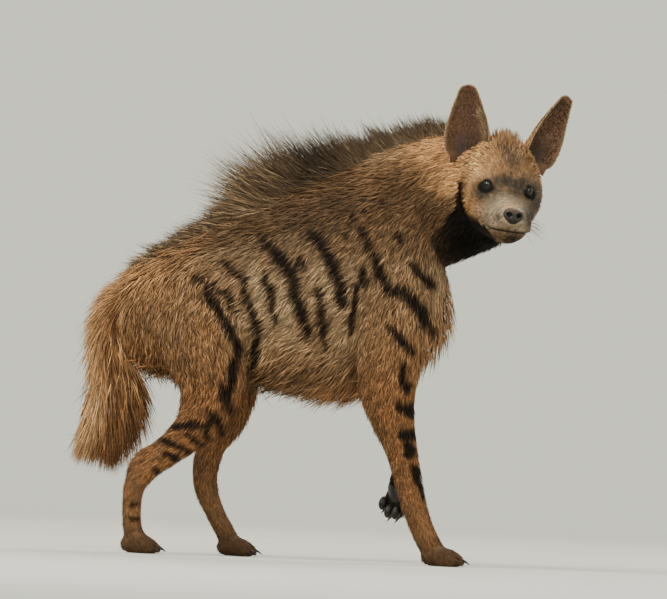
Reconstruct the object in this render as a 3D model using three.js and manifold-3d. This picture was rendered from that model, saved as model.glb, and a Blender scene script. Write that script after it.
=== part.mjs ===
import * as THREE from "three";
import { mergeVertices } from "three/addons/utils/BufferGeometryUtils.js";
import Module from "manifold-3d";

// A life-size striped hyena, walking with its left forefoot lifted and its head turned to its right.
// Millimetres. +X runs from tail to breast, +Y to the animal's left, +Z up, and the floor is at Z = 0.
// The flesh is a few smooth tubes of oval sections, joined with the locks of the mane, tail and fringes,
// and then parted by thin cuts where a person would name its parts.

const wasm = await Module();
wasm.setup();
const { Manifold, Mesh } = wasm;

// Driving dimensions
const partGap = 0.3;
const withersHeight = 750;
const chestHalfWidth = 112;
const hipHalfWidth = 90;
const eyeHeight = 686;
const eyeForward = 342;
const eyeSideways = -165;
const headYaw = -81;
const headPitch = 6;
const headRoll = -5.6;
const earWidths = [34, 40, 41.5, 41.5, 39.5, 36.5, 32, 27.5, 22.5, 17, 6];
const eyeRadius = 12.5;
const nosePad = { centre: new THREE.Vector3(103, 0, -39), radii: new THREE.Vector3(11, 19, 15) };
const mouthCornerX = 12;
const lipHeight = -67;
const lipRise = 20;
const foreFootLength = 82;
const hindFootLength = 76;
const foreFootBreadth = 35;
const hindFootBreadth = 31;

const degrees = Math.PI / 180;
const vec = (x, y, z) => new THREE.Vector3(x, y, z);
const upAxis = vec(0, 0, 1);
const leftAxis = vec(0, 1, 0);

// Seeded draws, so that the locks vary alike on every run
function drawsFrom(seed) {
  let state = seed;
  return () => {
    state = (state * 1664525 + 1013904223) % 4294967296;
    return state / 4294967296;
  };
}

// Solids from three.js geometries
function solidOf(geometry) {
  const bare = geometry.clone();
  for (const name of Object.keys(bare.attributes)) {
    if (name !== "position") bare.deleteAttribute(name);
  }
  const merged = mergeVertices(bare, 1e-3);
  return new Manifold(
    new Mesh({
      numProp: 3,
      vertProperties: merged.attributes.position.array,
      triVerts: new Uint32Array(merged.index.array),
    }),
  );
}

function geometryOf(solid) {
  const mesh = solid.getMesh();
  return new THREE.BufferGeometry()
    .setAttribute("position", new THREE.BufferAttribute(new Float32Array(mesh.vertProperties), 3))
    .setIndex(new THREE.BufferAttribute(new Uint32Array(mesh.triVerts), 1));
}

const joined = (solids) => Manifold.union(solids);

// A solid from points and faces, whichever way round the faces were listed
function outwardSolid(points, faces) {
  const made = solidOf(new THREE.BufferGeometry().setFromPoints(points).setIndex(faces));
  if (made.volume() > 0) return made;
  return solidOf(new THREE.BufferGeometry().setFromPoints(points).setIndex([...faces].reverse()));
}

function ball(centre, radii, turn = new THREE.Matrix4(), across = 12, rows = 8) {
  const geometry = new THREE.SphereGeometry(1, across, rows);
  geometry.scale(radii.x, radii.y, radii.z);
  geometry.applyMatrix4(turn);
  geometry.translate(centre.x, centre.y, centre.z);
  return solidOf(geometry);
}

function block(centre, size, turn = new THREE.Matrix4()) {
  const geometry = new THREE.BoxGeometry(size.x, size.y, size.z);
  geometry.applyMatrix4(turn);
  geometry.translate(centre.x, centre.y, centre.z);
  return solidOf(geometry);
}

// Everything below the floor, and a flat cut as thin as the gap between two parts
const belowFloor = block(vec(0, 0, -100), vec(2000, 2000, 200));

function slab(centre, normal, reach) {
  const turn = new THREE.Matrix4().makeRotationFromQuaternion(
    new THREE.Quaternion().setFromUnitVectors(upAxis, normal.clone().normalize()),
  );
  return block(centre, vec(reach, reach, partGap), turn);
}

const boxCentre = (solid) => {
  const { min, max } = solid.boundingBox();
  return vec((min[0] + max[0]) / 2, (min[1] + max[1]) / 2, (min[2] + max[2]) / 2);
};

// A tube of oval sections. Each station is [x, y, z, half width, reach above, reach below], where above
// is towards the front of a leg, and the numbers in between follow a Catmull-Rom curve.
function numbersAt(stations, place) {
  const last = stations.length - 1;
  const span = Math.min(Math.floor(place), last - 1);
  const f = place - span;
  const [a, b, c, d] = [-1, 0, 1, 2].map((k) => stations[Math.min(Math.max(span + k, 0), last)]);
  return b.map(
    (_, n) =>
      0.5 *
      (2 * b[n] +
        (c[n] - a[n]) * f +
        (2 * a[n] - 5 * b[n] + 4 * c[n] - d[n]) * f * f +
        (3 * b[n] - a[n] - 3 * c[n] + d[n]) * f * f * f),
  );
}

// The axes of a section: along the tube, to the side, and above. An upright tube keeps its sections
// vertical.
function sectionAt(tube, place) {
  const step = 0.01;
  const last = tube.stations.length - 1;
  const [x, y, z, half, above, below] = numbersAt(tube.stations, place);
  const before = numbersAt(tube.stations, Math.max(place - step, 0));
  const after = numbersAt(tube.stations, Math.min(place + step, last));
  const along = vec(after[0] - before[0], after[1] - before[1], after[2] - before[2]);
  let side = leftAxis.clone();
  if (tube.upright) {
    along.z = 0;
    along.normalize();
    side = upAxis.clone().cross(along);
  } else {
    along.normalize();
    side.addScaledVector(along, -side.dot(along)).normalize();
  }
  return { centre: vec(x, y, z), along, side, up: along.clone().cross(side), half, above, below };
}

function surfacePoint(tube, place, angle, grow = 0) {
  const s = sectionAt(tube, place);
  const sine = Math.sin(angle);
  const reach = (sine > 0 ? s.above : s.below) + grow;
  return s.centre
    .clone()
    .addScaledVector(s.side, (s.half + grow) * Math.cos(angle))
    .addScaledVector(s.up, reach * sine);
}

// The outward direction of a tube's surface, from two small steps along it
function surfaceNormal(tube, place, angle) {
  const small = 0.02;
  const last = tube.stations.length - 1;
  const lengthwise = surfacePoint(tube, Math.min(place + small, last), angle).sub(
    surfacePoint(tube, Math.max(place - small, 0), angle),
  );
  const around = surfacePoint(tube, place, angle + small).sub(surfacePoint(tube, place, angle - small));
  return around.cross(lengthwise).normalize().negate();
}

function tubeGeometry(tube, grow = 0, pointOn = surfacePoint) {
  const { stations, sides = 20, steps = 2 } = tube;
  const rings = (stations.length - 1) * steps + 1;
  const points = [];
  for (let r = 0; r < rings; r++) {
    for (let k = 0; k < sides; k++) {
      points.push(pointOn(tube, r / steps, (2 * Math.PI * k) / sides, grow));
    }
  }
  const faces = [];
  for (let r = 0; r + 1 < rings; r++) {
    for (let k = 0; k < sides; k++) {
      const next = (k + 1) % sides;
      const [a, b, c, d] = [r * sides + k, r * sides + next, (r + 1) * sides + next, (r + 1) * sides + k];
      faces.push(a, b, c, a, c, d);
    }
  }
  const ends = [0, rings - 1].map((r) => {
    const s = sectionAt(tube, r / steps);
    points.push(s.centre.clone().addScaledVector(s.along, r === 0 ? -grow : grow));
    return points.length - 1;
  });
  for (let k = 0; k < sides; k++) {
    const next = (k + 1) % sides;
    const far = (rings - 1) * sides;
    faces.push(ends[0], next, k, ends[1], far + k, far + next);
  }
  return new THREE.BufferGeometry().setFromPoints(points).setIndex(faces);
}

const tubeSolid = (tube, grow = 0) => solidOf(tubeGeometry(tube, grow));

// A lock of hair: a flat blade that tapers to its tip and bends along its length. The root is sunk into
// the body. Its section is a flat diamond, split alike on both faces.
function lock({ root, direction, bend, flat, length, width, thickness, sunk }) {
  const shares = [0, 0.38, 0.72];
  const taper = [1, 0.86, 0.5];
  const points = [];
  const pathPoint = (share) =>
    root
      .clone()
      .addScaledVector(direction, length * share - sunk * (1 - share))
      .addScaledVector(bend, length * share * share);
  const thin = direction.clone().cross(flat).normalize();
  const wide = thin.clone().cross(direction).normalize();
  shares.forEach((share, n) => {
    const centre = pathPoint(share);
    const w = (width / 2) * taper[n];
    const t = (thickness / 2) * taper[n];
    points.push(centre.clone().addScaledVector(wide, w));
    points.push(centre.clone().addScaledVector(thin, t));
    points.push(centre.clone().addScaledVector(wide, -w));
    points.push(centre.clone().addScaledVector(thin, -t));
  });
  points.push(pathPoint(1));
  const faces = [0, 2, 1, 0, 3, 2];
  const tip = points.length - 1;
  shares.forEach((_, n) => {
    const ring = 4 * n;
    for (let k = 0; k < 4; k++) {
      const next = (k + 1) % 4;
      const [a, b, c, d] = [ring + k, ring + next, ring + 4 + next, ring + 4 + k];
      if (n === shares.length - 1) faces.push(a, b, tip);
      else if (k % 2 === 0) faces.push(a, b, c, a, c, d);
      else faces.push(a, b, d, b, c, d);
    }
  });
  return outwardSolid(points, faces);
}

// Torso, from the rump to the breast. The back rises steadily to the withers.
const torso = {
  upright: true,
  sides: 20,
  steps: 2,
  stations: [
    [-346, 0, 440, 22, 26, 30],
    [-328, 0, 434, 0.66 * hipHalfWidth, 74, 66],
    [-285, 0, 436, 0.9 * hipHalfWidth, 100, 96],
    [-215, 0, 448, hipHalfWidth, 132, 124],
    [-130, 0, 468, 1.06 * hipHalfWidth, 160, 144],
    [-45, 0, 492, 0.95 * chestHalfWidth, 182, 184],
    [45, 0, 512, chestHalfWidth, 204, 218],
    [125, 0, 530, 0.98 * chestHalfWidth, withersHeight - 534, 216],
    [180, 0, 556, 0.88 * chestHalfWidth, 190, 202],
    [214, 0, 560, 0.67 * chestHalfWidth, 165, 174],
    [236, 0, 556, 0.3 * chestHalfWidth, 105, 118],
  ],
};

// Neck, swung to the animal's right as it rises to the head
const neck = {
  upright: true,
  sides: 18,
  steps: 2,
  stations: [
    [92, 2, 600, 84, 138, 110],
    [150, 3, 630, 88, 134, 128],
    [212, -1, 655, 85, 127, 130],
    [266, -16, 670, 80, 112, 122],
    [304, -46, 680, 76, 98, 112],
    [322, -82, 684, 66, 84, 98],
  ],
};

// Head, in its own axes: x to the nose, y to its left, z up, and the origin midway between the eyes
const headTube = {
  upright: true,
  sides: 20,
  steps: 2,
  stations: [
    [-150, 0, 6, 58, 66, 72],
    [-112, 0, 2, 72, 86, 88],
    [-72, 0, -6, 75, 90, 90],
    [-36, 0, -14, 71, 80, 84],
    [-8, 0, -24, 60, 60, 74],
    [16, 0, -34, 49, 42, 64],
    [42, 0, -42, 42, 34, 54],
    [68, 0, -48, 39, 31, 44],
    [90, 0, -51, 34, 30, 36],
    [103, 0, -52, 25, 25, 27],
    [108, 0, -52, 10, 12, 12],
  ],
};

const headTurn = new THREE.Matrix4().makeRotationFromEuler(
  new THREE.Euler(headRoll * degrees, headPitch * degrees, headYaw * degrees, "ZYX"),
);
const headPlace = new THREE.Matrix4()
  .makeTranslation(eyeForward, eyeSideways, eyeHeight)
  .multiply(headTurn);

// Puts a solid that is made in the head's own axes where the head is
function placedOnHead(solid) {
  const geometry = geometryOf(solid);
  geometry.applyMatrix4(headPlace);
  return solidOf(geometry);
}

const eyeCentre = (hand) => vec(1, hand * 33.5, 0);
const eyeball = (hand, radius) => ball(eyeCentre(hand), vec(radius, radius, radius), undefined, 12, 8);

// Swells and hollows of the head, each as [centre, spread, height]; those off the middle are on both sides
const swells = [
  [vec(0, 36, 21), 12, 5],
  [vec(16, 30, -6), 10, -5],
  [vec(12, 0, 12), 15, -5],
  [vec(-34, 62, -20), 24, 4],
  [vec(-24, 58, 34), 18, -4],
  [vec(80, 24, -60), 14, 4],
  [vec(76, 0, -92), 14, 3],
];

function sculpted(tube, place, angle, grow) {
  const point = surfacePoint(tube, place, angle, grow);
  const outward = point.clone().sub(sectionAt(tube, place).centre).normalize();
  let height = 0;
  for (const [centre, spread, rise] of swells) {
    for (const hand of centre.y === 0 ? [1] : [-1, 1]) {
      const off = vec(centre.x, hand * centre.y, centre.z).distanceTo(point);
      height += rise * Math.exp((-off * off) / (2 * spread * spread));
    }
  }
  return point.addScaledVector(outward, height);
}

const headFlesh = (grow = 0) => solidOf(tubeGeometry(headTube, grow, sculpted));

// A sheet that follows the line of the mouth from its corners to the front of the muzzle
function mouthSheet(thickness) {
  const top = [];
  const bottom = [];
  for (let k = 0; k <= 4; k++) {
    const x = mouthCornerX + ((118 - mouthCornerX) * k) / 4;
    const share = Math.max(92 - x, 0) / (92 - mouthCornerX);
    const z = lipHeight + lipRise * share ** 2.2;
    top.push(new THREE.Vector2(x, z + thickness / 2));
    bottom.push(new THREE.Vector2(x, z - thickness / 2));
  }
  const outline = new THREE.Shape([...bottom, ...top.reverse()]);
  const geometry = new THREE.ExtrudeGeometry(outline, { depth: 180, bevelEnabled: false });
  geometry.rotateX(Math.PI / 2);
  geometry.translate(0, 90, 0);
  return solidOf(geometry);
}

// The head in its own axes: lids wrap each eyeball and leave an almond opening, and the lips are a low
// band with the line of the mouth cut in it.
function headSolid() {
  const lips = mouthSheet(9).intersect(headFlesh(1.2));
  const lids = [-1, 1].map((hand) => eyeball(hand, eyeRadius + 2.8));
  let head = joined([headFlesh(), lips, ball(nosePad.centre, nosePad.radii), ...lids]);
  for (const hand of [-1, 1]) {
    const gaze = vec(0.74, hand * 0.67, 0.05);
    const turn = new THREE.Matrix4().makeRotationFromQuaternion(
      new THREE.Quaternion().setFromUnitVectors(vec(1, 0, 0), gaze.clone().normalize()),
    );
    const opening = ball(eyeCentre(hand).addScaledVector(gaze, 12), vec(12, 9.8, 6.4), turn, 10, 6);
    const nostril = ball(vec(113, hand * 8.5, -38), vec(7, 4.6, 5), undefined, 8, 5);
    head = head.subtract(eyeball(hand, eyeRadius + partGap)).subtract(opening).subtract(nostril);
  }
  return placedOnHead(head.subtract(mouthSheet(1.6).subtract(headFlesh(-3))));
}

// An ear: a leaf-shaped cup, closed into a funnel at its foot. Across the ear u runs from -1 to 1, and
// along it v runs from the foot to the rounded tip.
const earPlaces = [
  { hand: -1, foot: vec(-98, -62, 40), tip: vec(-106, -85, 163), outward: 24 },
  { hand: 1, foot: vec(-98, 54, 49), tip: vec(-106, 112, 166), outward: 40 },
];

function earPoint(place, u, v, wall) {
  const rise = place.tip.clone().sub(place.foot);
  const facing = vec(Math.cos(place.outward * degrees), place.hand * Math.sin(place.outward * degrees), 0);
  facing.addScaledVector(rise, -facing.dot(rise) / rise.lengthSq()).normalize();
  const across = rise.clone().cross(facing).normalize();
  const row = Math.min(Math.floor(v * 10), 9);
  const half = earWidths[row] + (earWidths[row + 1] - earWidths[row]) * (v * 10 - row);
  const wrap = (78 - 36 * v) * degrees;
  const radius = half / Math.sin(wrap);
  const angle = u * wrap;
  return place.foot
    .clone()
    .addScaledVector(rise, v)
    .addScaledVector(across, (radius - wall) * Math.sin(angle))
    .addScaledVector(facing, radius * 0.55 - (radius - wall) * Math.cos(angle) - 10 * v * v);
}

function ear(place) {
  const columns = 8;
  const levels = [0, 0.1, 0.22, 0.36, 0.5, 0.64, 0.77, 0.88, 0.96, 1];
  const points = [];
  for (const inner of [false, true]) {
    for (const v of levels) {
      for (let i = 0; i <= columns; i++) {
        const u = (2 * i) / columns - 1;
        points.push(earPoint(place, u, v, inner ? 6 - 3.4 * Math.abs(u) - 1.2 * v : 0));
      }
    }
  }
  const rows = levels.length - 1;
  const at = (side, j, i) => side * (rows + 1) * (columns + 1) + j * (columns + 1) + i;
  const faces = [];
  const quad = (a, b, c, d) => faces.push(a, b, c, a, c, d);
  for (let j = 0; j < rows; j++) {
    for (let i = 0; i < columns; i++) {
      quad(at(0, j, i), at(0, j, i + 1), at(0, j + 1, i + 1), at(0, j + 1, i));
      quad(at(1, j, i), at(1, j + 1, i), at(1, j + 1, i + 1), at(1, j, i + 1));
    }
    quad(at(0, j, 0), at(0, j + 1, 0), at(1, j + 1, 0), at(1, j, 0));
    quad(at(0, j + 1, columns), at(0, j, columns), at(1, j, columns), at(1, j + 1, columns));
  }
  for (let i = 0; i < columns; i++) {
    quad(at(0, 0, i + 1), at(0, 0, i), at(1, 0, i), at(1, 0, i + 1));
    quad(at(0, rows, i), at(0, rows, i + 1), at(1, rows, i + 1), at(1, rows, i));
  }
  const cup = outwardSolid(points, faces);
  return largest(placedOnHead(cup.subtract(headFlesh(partGap))).subtract(tubeSolid(neck, 2 * partGap)));
}

function largest(solid) {
  return solid.decompose().sort((a, b) => b.volume() - a.volume())[0];
}

// Legs, from inside the trunk down to the ankle. Above and below are the front and the back of the leg.
const foreRight = {
  sides: 12,
  steps: 2,
  stations: [
    [128, -58, 600, 30, 50, 56],
    [150, -74, 500, 42, 60, 66],
    [152, -78, 405, 42, 60, 66],
    [143, -73, 325, 38, 55, 52],
    [155, -66, 262, 32, 40, 40],
    [171, -58, 208, 27, 32, 28],
    [187, -50, 152, 23, 28, 25],
    [202, -44, 102, 23, 26, 24],
    [216, -40, 66, 23, 24, 22],
    [230, -38, 40, 24, 24, 22],
    [248, -38, 22, 22, 18, 18],
  ],
};
const foreLeft = {
  sides: 12,
  steps: 2,
  stations: [
    [128, 58, 600, 30, 50, 56],
    [146, 74, 510, 42, 60, 66],
    [138, 78, 430, 42, 58, 62],
    [126, 74, 360, 37, 48, 48],
    [141, 69, 300, 31, 36, 36],
    [160, 63, 250, 26, 29, 28],
    [178, 58, 208, 24, 26, 24],
    [180, 54, 172, 23, 22, 22],
    [168, 50, 140, 23, 18, 18],
  ],
};
const hindRight = {
  sides: 12,
  steps: 2,
  stations: [
    [-240, -36, 510, 22, 44, 40],
    [-222, -58, 446, 38, 80, 74],
    [-196, -68, 380, 42, 84, 74],
    [-177, -74, 318, 38, 66, 62],
    [-186, -76, 260, 32, 48, 46],
    [-213, -77, 221, 28, 36, 32],
    [-250, -77, 184, 24, 29, 28],
    [-282, -77, 154, 21, 25, 35],
    [-302, -77, 118, 20, 20, 24],
    [-307, -77, 78, 19, 19, 19],
    [-303, -77, 40, 20, 20, 19],
    [-290, -77, 22, 19, 18, 18],
  ],
};
const hindLeft = {
  sides: 12,
  steps: 2,
  stations: [
    [-238, 36, 510, 22, 44, 40],
    [-212, 58, 446, 38, 80, 74],
    [-176, 68, 380, 42, 82, 74],
    [-148, 76, 312, 38, 62, 62],
    [-148, 79, 254, 32, 44, 46],
    [-168, 80, 203, 26, 29, 29],
    [-177, 80, 156, 23, 24, 26],
    [-173, 80, 114, 21, 22, 24],
    [-157, 80, 76, 20, 20, 20],
    [-138, 80, 42, 21, 20, 19],
    [-124, 80, 22, 19, 18, 18],
  ],
};

// A foot in its own axes: x to the toes, y to its left, z up from the sole. Four toes with claws stand
// round a broad middle. The lifted foot also shows the pads below its toes and palm.
function foot(length, breadth, padsShown) {
  const pieces = [];
  for (const place of [-1.5, -0.5, 0.5, 1.5]) {
    const reach = Math.abs(place) < 1 ? length : 0.85 * length;
    const y = place * breadth * 0.5;
    const toe = {
      sides: 6,
      steps: 1,
      upright: true,
      stations: [
        [0.34 * length, 0.86 * y, 22, 9, 12, 24],
        [0.6 * length, 0.92 * y, 22, 10.5, 12, 25],
        [reach - 16, y, 15, 10.5, 12, 18],
        [reach - 2, 1.06 * y, 11, 5, 5, 10],
      ],
    };
    pieces.push(tubeSolid(toe));
    const claw = new THREE.ConeGeometry(3.6, 22, 4);
    claw.applyMatrix4(new THREE.Matrix4().makeRotationZ(-Math.PI / 2));
    claw.applyMatrix4(new THREE.Matrix4().makeRotationY(18 * degrees));
    claw.translate(reach + 3, 1.06 * y, 9.5);
    pieces.push(solidOf(claw));
    if (padsShown) pieces.push(ball(vec(reach - 17, y, 3), vec(11, 8, 7), undefined, 6, 4));
  }
  pieces.push(ball(vec(0.3 * length, 0, 15), vec(0.32 * length, 0.66 * breadth, 20), undefined, 8, 6));
  if (padsShown) pieces.push(ball(vec(0.4 * length, 0, 4), vec(16, 0.6 * breadth, 9), undefined, 8, 4));
  return joined(pieces);
}

// Turns a foot so that its toes and its upper side point as told, with its heel at a place
function placedFoot(solid, heel, toes, top) {
  const x = toes.clone().normalize();
  const z = top.clone().addScaledVector(x, -top.dot(x)).normalize();
  const y = z.clone().cross(x);
  const matrix = new THREE.Matrix4().makeBasis(x, y, z).setPosition(heel);
  const geometry = geometryOf(solid);
  geometry.applyMatrix4(matrix);
  return solidOf(geometry);
}

const legs = [
  {
    names: ["fore_right_upper_arm", "fore_right_forearm", "fore_right_paw"],
    tube: foreRight,
    foot: placedFoot(
      foot(foreFootLength, foreFootBreadth, false),
      vec(217, -38, 0),
      vec(1, -0.04, 0),
      upAxis,
    ),
    cuts: [
      [vec(150, -70, 300), vec(-0.1, 0, 1)],
      [vec(203, -44, 98), vec(-0.35, 0, 1)],
    ],
  },
  {
    names: ["fore_left_upper_arm", "fore_left_forearm", "fore_left_paw"],
    tube: foreLeft,
    foot: placedFoot(
      foot(foreFootLength, foreFootBreadth, true),
      vec(178, 52, 160),
      vec(-0.24, -0.1, -0.97),
      vec(0.62, 0.7, 0),
    ),
    cuts: [
      [vec(134, 72, 330), vec(-0.3, 0, 1)],
      [vec(180, 56, 190), vec(0, 0, 1)],
    ],
  },
  {
    names: ["hind_right_thigh", "hind_right_shank", "hind_right_foot"],
    tube: hindRight,
    foot: placedFoot(
      foot(hindFootLength, hindFootBreadth, false),
      vec(-325, -77, 0),
      vec(1, -0.06, 0),
      upAxis,
    ),
    cuts: [
      [vec(-186, -76, 262), vec(-0.45, 0, 1)],
      [vec(-298, -77, 128), vec(0.2, 0, 1)],
    ],
  },
  {
    names: ["hind_left_thigh", "hind_left_shank", "hind_left_foot"],
    tube: hindLeft,
    foot: placedFoot(
      foot(hindFootLength, hindFootBreadth, false),
      vec(-152, 80, 0),
      vec(1, 0.06, 0),
      upAxis,
    ),
    cuts: [
      [vec(-148, 79, 258), vec(-0.2, 0, 1)],
      [vec(-172, 80, 106), vec(-0.25, 0, 1)],
    ],
  },
];

// One leg, parted by two flat cuts and listed from the top down
function legParts(leg) {
  let whole = joined([tubeSolid(leg.tube), leg.foot]).subtract(belowFloor);
  for (const [centre, normal] of leg.cuts) whole = whole.subtract(slab(centre, normal, 260));
  const bodies = whole.decompose().sort((a, b) => b.volume() - a.volume());
  return bodies.slice(0, 3).sort((a, b) => boxCentre(b).z - boxCentre(a).z);
}

// The place along an upright tube whose section stands at a given x
function placeAtX(tube, x) {
  let low = 0;
  let high = tube.stations.length - 1;
  for (let k = 0; k < 24; k++) {
    const middle = (low + high) / 2;
    if (numbersAt(tube.stations, middle)[0] < x) low = middle;
    else high = middle;
  }
  return low;
}

// Numbers at the middles of equal steps between two ends
const evenly = (from, to, count) => {
  const step = (to - from) / count;
  return Array.from({ length: count }, (_, k) => from + step * (k + 0.5));
};

// The row of numbers for a value x, from rows that each start with their own x
function between(rows, x) {
  const next = rows.findIndex((row) => row[0] > x);
  if (next === 0) return rows[0].slice(1);
  if (next < 0) return rows[rows.length - 1].slice(1);
  const [a, b] = [rows[next - 1], rows[next]];
  const share = (x - a[0]) / (b[0] - a[0]);
  return a.slice(1).map((value, n) => value + (b[n + 1] - value) * share);
}

// Length, lean from upright in degrees, and width of the mane's locks, by where they are rooted
const maneAlong = [
  [-300, 30, 84, 23],
  [-150, 36, 81, 23],
  [-122, 52, 75, 22],
  [-106, 98, 63, 21],
  [-50, 102, 55, 21],
  [0, 92, 49, 21],
  [84, 64, 38, 20],
  [150, 54, 39, 20],
  [230, 42, 40, 20],
  [300, 34, 34, 20],
];

// The mane: rows of locks along the ridge of the back. Those off the middle are shorter and splay outward.
function mane(tube, places, rows, seed) {
  const draw = drawsFrom(seed);
  return places.flatMap((place, k) =>
    rows.map((sideways, n) => {
      const step = places[1] - places[0];
      const at = place + step * (n % 2) * 0.5;
      const section = sectionAt(tube, at);
      const root = surfacePoint(tube, at, Math.PI / 2 - sideways / section.half);
      const [length, lean, width] = between(maneAlong, root.x);
      const back = section.along.clone().negate();
      const tilt = (lean + 4 * (draw() - 0.5)) * degrees;
      const direction = vec(0, 0, Math.cos(tilt))
        .addScaledVector(back, Math.sin(tilt))
        .addScaledVector(section.side, -0.007 * sideways)
        .normalize();
      return lock({
        root,
        direction,
        bend: back.clone().multiplyScalar(0.08 + 0.06 * draw()),
        flat: back,
        length: length * (1 - 0.006 * Math.abs(sideways)) * (0.88 + 0.2 * draw()),
        width: width * (0.94 + 0.1 * draw()),
        thickness: 7,
        sunk: 11,
      });
    }),
  );
}

const placesOn = (tube, from, to, count) => evenly(from, to, count).map((x) => placeAtX(tube, x));
const torsoMane = [
  ...mane(torso, placesOn(torso, -116, 108, 11), [-20, -7, 7, 20], 9),
  ...mane(torso, placesOn(torso, -290, -122, 5), [-14, 0, 14], 12),
];
const neckMane = mane(neck, placesOn(neck, 112, 298, 9), [-14, 0, 14], 5);

// Fringes below the belly and the throat. Their locks lie back along the coat and droop at their tips.
function fringe(tube, places, angles, length, fall, seed) {
  const draw = drawsFrom(seed);
  return places.flatMap((place, k) =>
    angles.map((angle) => {
      const turned = (angle + (k % 2) * 14) * degrees;
      const root = surfacePoint(tube, place, turned);
      const normal = surfaceNormal(tube, place, turned);
      const direction = sectionAt(tube, place).along.negate().addScaledVector(normal, fall).normalize();
      return lock({
        root,
        direction,
        bend: vec(0, 0, -0.16),
        flat: direction.clone().cross(normal).normalize(),
        length: length * (0.85 + 0.3 * draw()),
        width: 32,
        thickness: 8,
        sunk: 8,
      });
    }),
  );
}

const bellyFringe = fringe(torso, evenly(3.9, 6.5, 6), [-127, -97, -67], 46, 0.3, 23);
const throatFringe = fringe(neck, evenly(2.6, 4.4, 4), [-120, -92, -64], 34, 0.45, 31);

// The tail hangs from the rump and widens to a brush. Rings of long locks leave its surface, more so to
// the front than to the back, and run on past its end.
const tail = {
  sides: 12,
  steps: 2,
  stations: [
    [-312, 0, 466, 28, 24, 30],
    [-340, 0, 458, 33, 27, 32],
    [-362, -1, 424, 38, 30, 30],
    [-366, -3, 370, 40, 46, 32],
    [-358, -4, 308, 44, 66, 46],
    [-360, -5, 254, 36, 54, 44],
    [-368, -5, 216, 18, 28, 26],
  ],
};

function brush() {
  const draw = drawsFrom(17);
  const locksRound = 6;
  return evenly(1.9, 6, 4).flatMap((place, ring) => {
    const low = (6 - place) / 4.1;
    return evenly(0, 2 * Math.PI, locksRound).map((middle) => {
      const angle = middle + (ring % 2) * (Math.PI / locksRound);
      const root = surfacePoint(tail, place, angle);
      const normal = surfaceNormal(tail, place, angle);
      const direction = vec(0.22 * normal.x, 0.25 * normal.y, -1);
      if (normal.x > 0) direction.x += 0.22 * low;
      direction.normalize();
      return lock({
        root,
        direction,
        bend: vec(-0.1, 0, -0.04),
        flat: direction.clone().cross(normal).normalize(),
        length: (58 + 16 * low) * (0.85 + 0.3 * draw()),
        width: 34,
        thickness: 10,
        sunk: 9,
      });
    });
  });
}

// The trunk with pockets for the legs and the head, parted where the neck rises from the withers. The
// locks on either side keep clear of the cut.
const headShape = placedOnHead(headFlesh(partGap));
const pockets = legs.map((leg) => tubeSolid(leg.tube, partGap));
const neckCut = slab(vec(112, 0, 752), vec(Math.cos(36 * degrees), 0, Math.sin(36 * degrees)), 900);
const fleshParts = joined([tubeSolid(torso), tubeSolid(neck)])
  .subtract(joined([headShape, ...pockets]))
  .subtract(neckCut)
  .decompose()
  .sort((a, b) => b.volume() - a.volume());
const clearOfNeck = joined([headShape, neckCut, ...pockets]);
const torsoPart = largest(joined([fleshParts[0], ...torsoMane, ...bellyFringe]).subtract(clearOfNeck));
const neckPart = largest(joined([fleshParts[1], ...neckMane, ...throatFringe]).subtract(clearOfNeck));
const tailPart = largest(joined([tubeSolid(tail), ...brush()]).subtract(tubeSolid(torso, 2 * partGap)));

const hyena = new THREE.Group();
hyena.name = "striped_hyena";

// Every part with its colour and roughness
const finishes = {
  coat: { color: 0x8a6a4a, roughness: 0.9 },
  ear: { color: 0x6b4f42, roughness: 0.85 },
  eye: { color: 0x120c08, roughness: 0.08 },
};

function addPart(name, solid, finish) {
  const material = new THREE.MeshStandardMaterial({ ...finishes[finish], metalness: 0 });
  const mesh = new THREE.Mesh(geometryOf(solid), material);
  mesh.name = name;
  hyena.add(mesh);
}

addPart("torso", torsoPart, "coat");
addPart("neck", neckPart, "coat");
addPart("head", headSolid(), "coat");
addPart("tail", tailPart, "coat");
for (const place of earPlaces) {
  const side = place.hand < 0 ? "right" : "left";
  addPart(`ear_${side}`, ear(place), "ear");
  addPart(`eye_${side}`, placedOnHead(eyeball(place.hand, eyeRadius)), "eye");
}
for (const leg of legs) {
  legParts(leg).forEach((solid, n) => addPart(leg.names[n], solid, "coat"));
}

// The origin is on the floor, below the middle of the whole animal
const bounds = new THREE.Box3().setFromObject(hyena);
hyena.position.set(-(bounds.min.x + bounds.max.x) / 2, -(bounds.min.y + bounds.max.y) / 2, 0);

export default hyena;
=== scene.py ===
"""A life-size striped hyena: one skin, its coat of tufts, ears, eyes, nose, claws and pads.

Shapes are worked out in the animal's own millimetres, x to the front, y to its left, z up,
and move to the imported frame, in metres, when they become meshes.
"""

import math

import bmesh
import bpy
import numpy as np
from mathutils import Matrix, Vector


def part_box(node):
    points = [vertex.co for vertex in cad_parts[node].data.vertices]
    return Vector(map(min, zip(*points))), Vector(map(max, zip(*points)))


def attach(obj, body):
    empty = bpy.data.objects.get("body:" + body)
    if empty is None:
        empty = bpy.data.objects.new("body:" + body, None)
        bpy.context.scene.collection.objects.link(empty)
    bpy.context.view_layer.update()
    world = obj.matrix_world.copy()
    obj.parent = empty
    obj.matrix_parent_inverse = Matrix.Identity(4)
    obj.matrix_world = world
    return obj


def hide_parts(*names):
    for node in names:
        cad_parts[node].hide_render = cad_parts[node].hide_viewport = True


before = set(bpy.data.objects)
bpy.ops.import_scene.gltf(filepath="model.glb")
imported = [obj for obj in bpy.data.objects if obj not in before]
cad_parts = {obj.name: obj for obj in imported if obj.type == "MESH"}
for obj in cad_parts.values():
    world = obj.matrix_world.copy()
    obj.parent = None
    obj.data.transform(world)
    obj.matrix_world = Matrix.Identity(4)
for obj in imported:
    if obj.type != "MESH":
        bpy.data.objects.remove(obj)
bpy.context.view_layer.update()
rng = np.random.default_rng(508)
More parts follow.
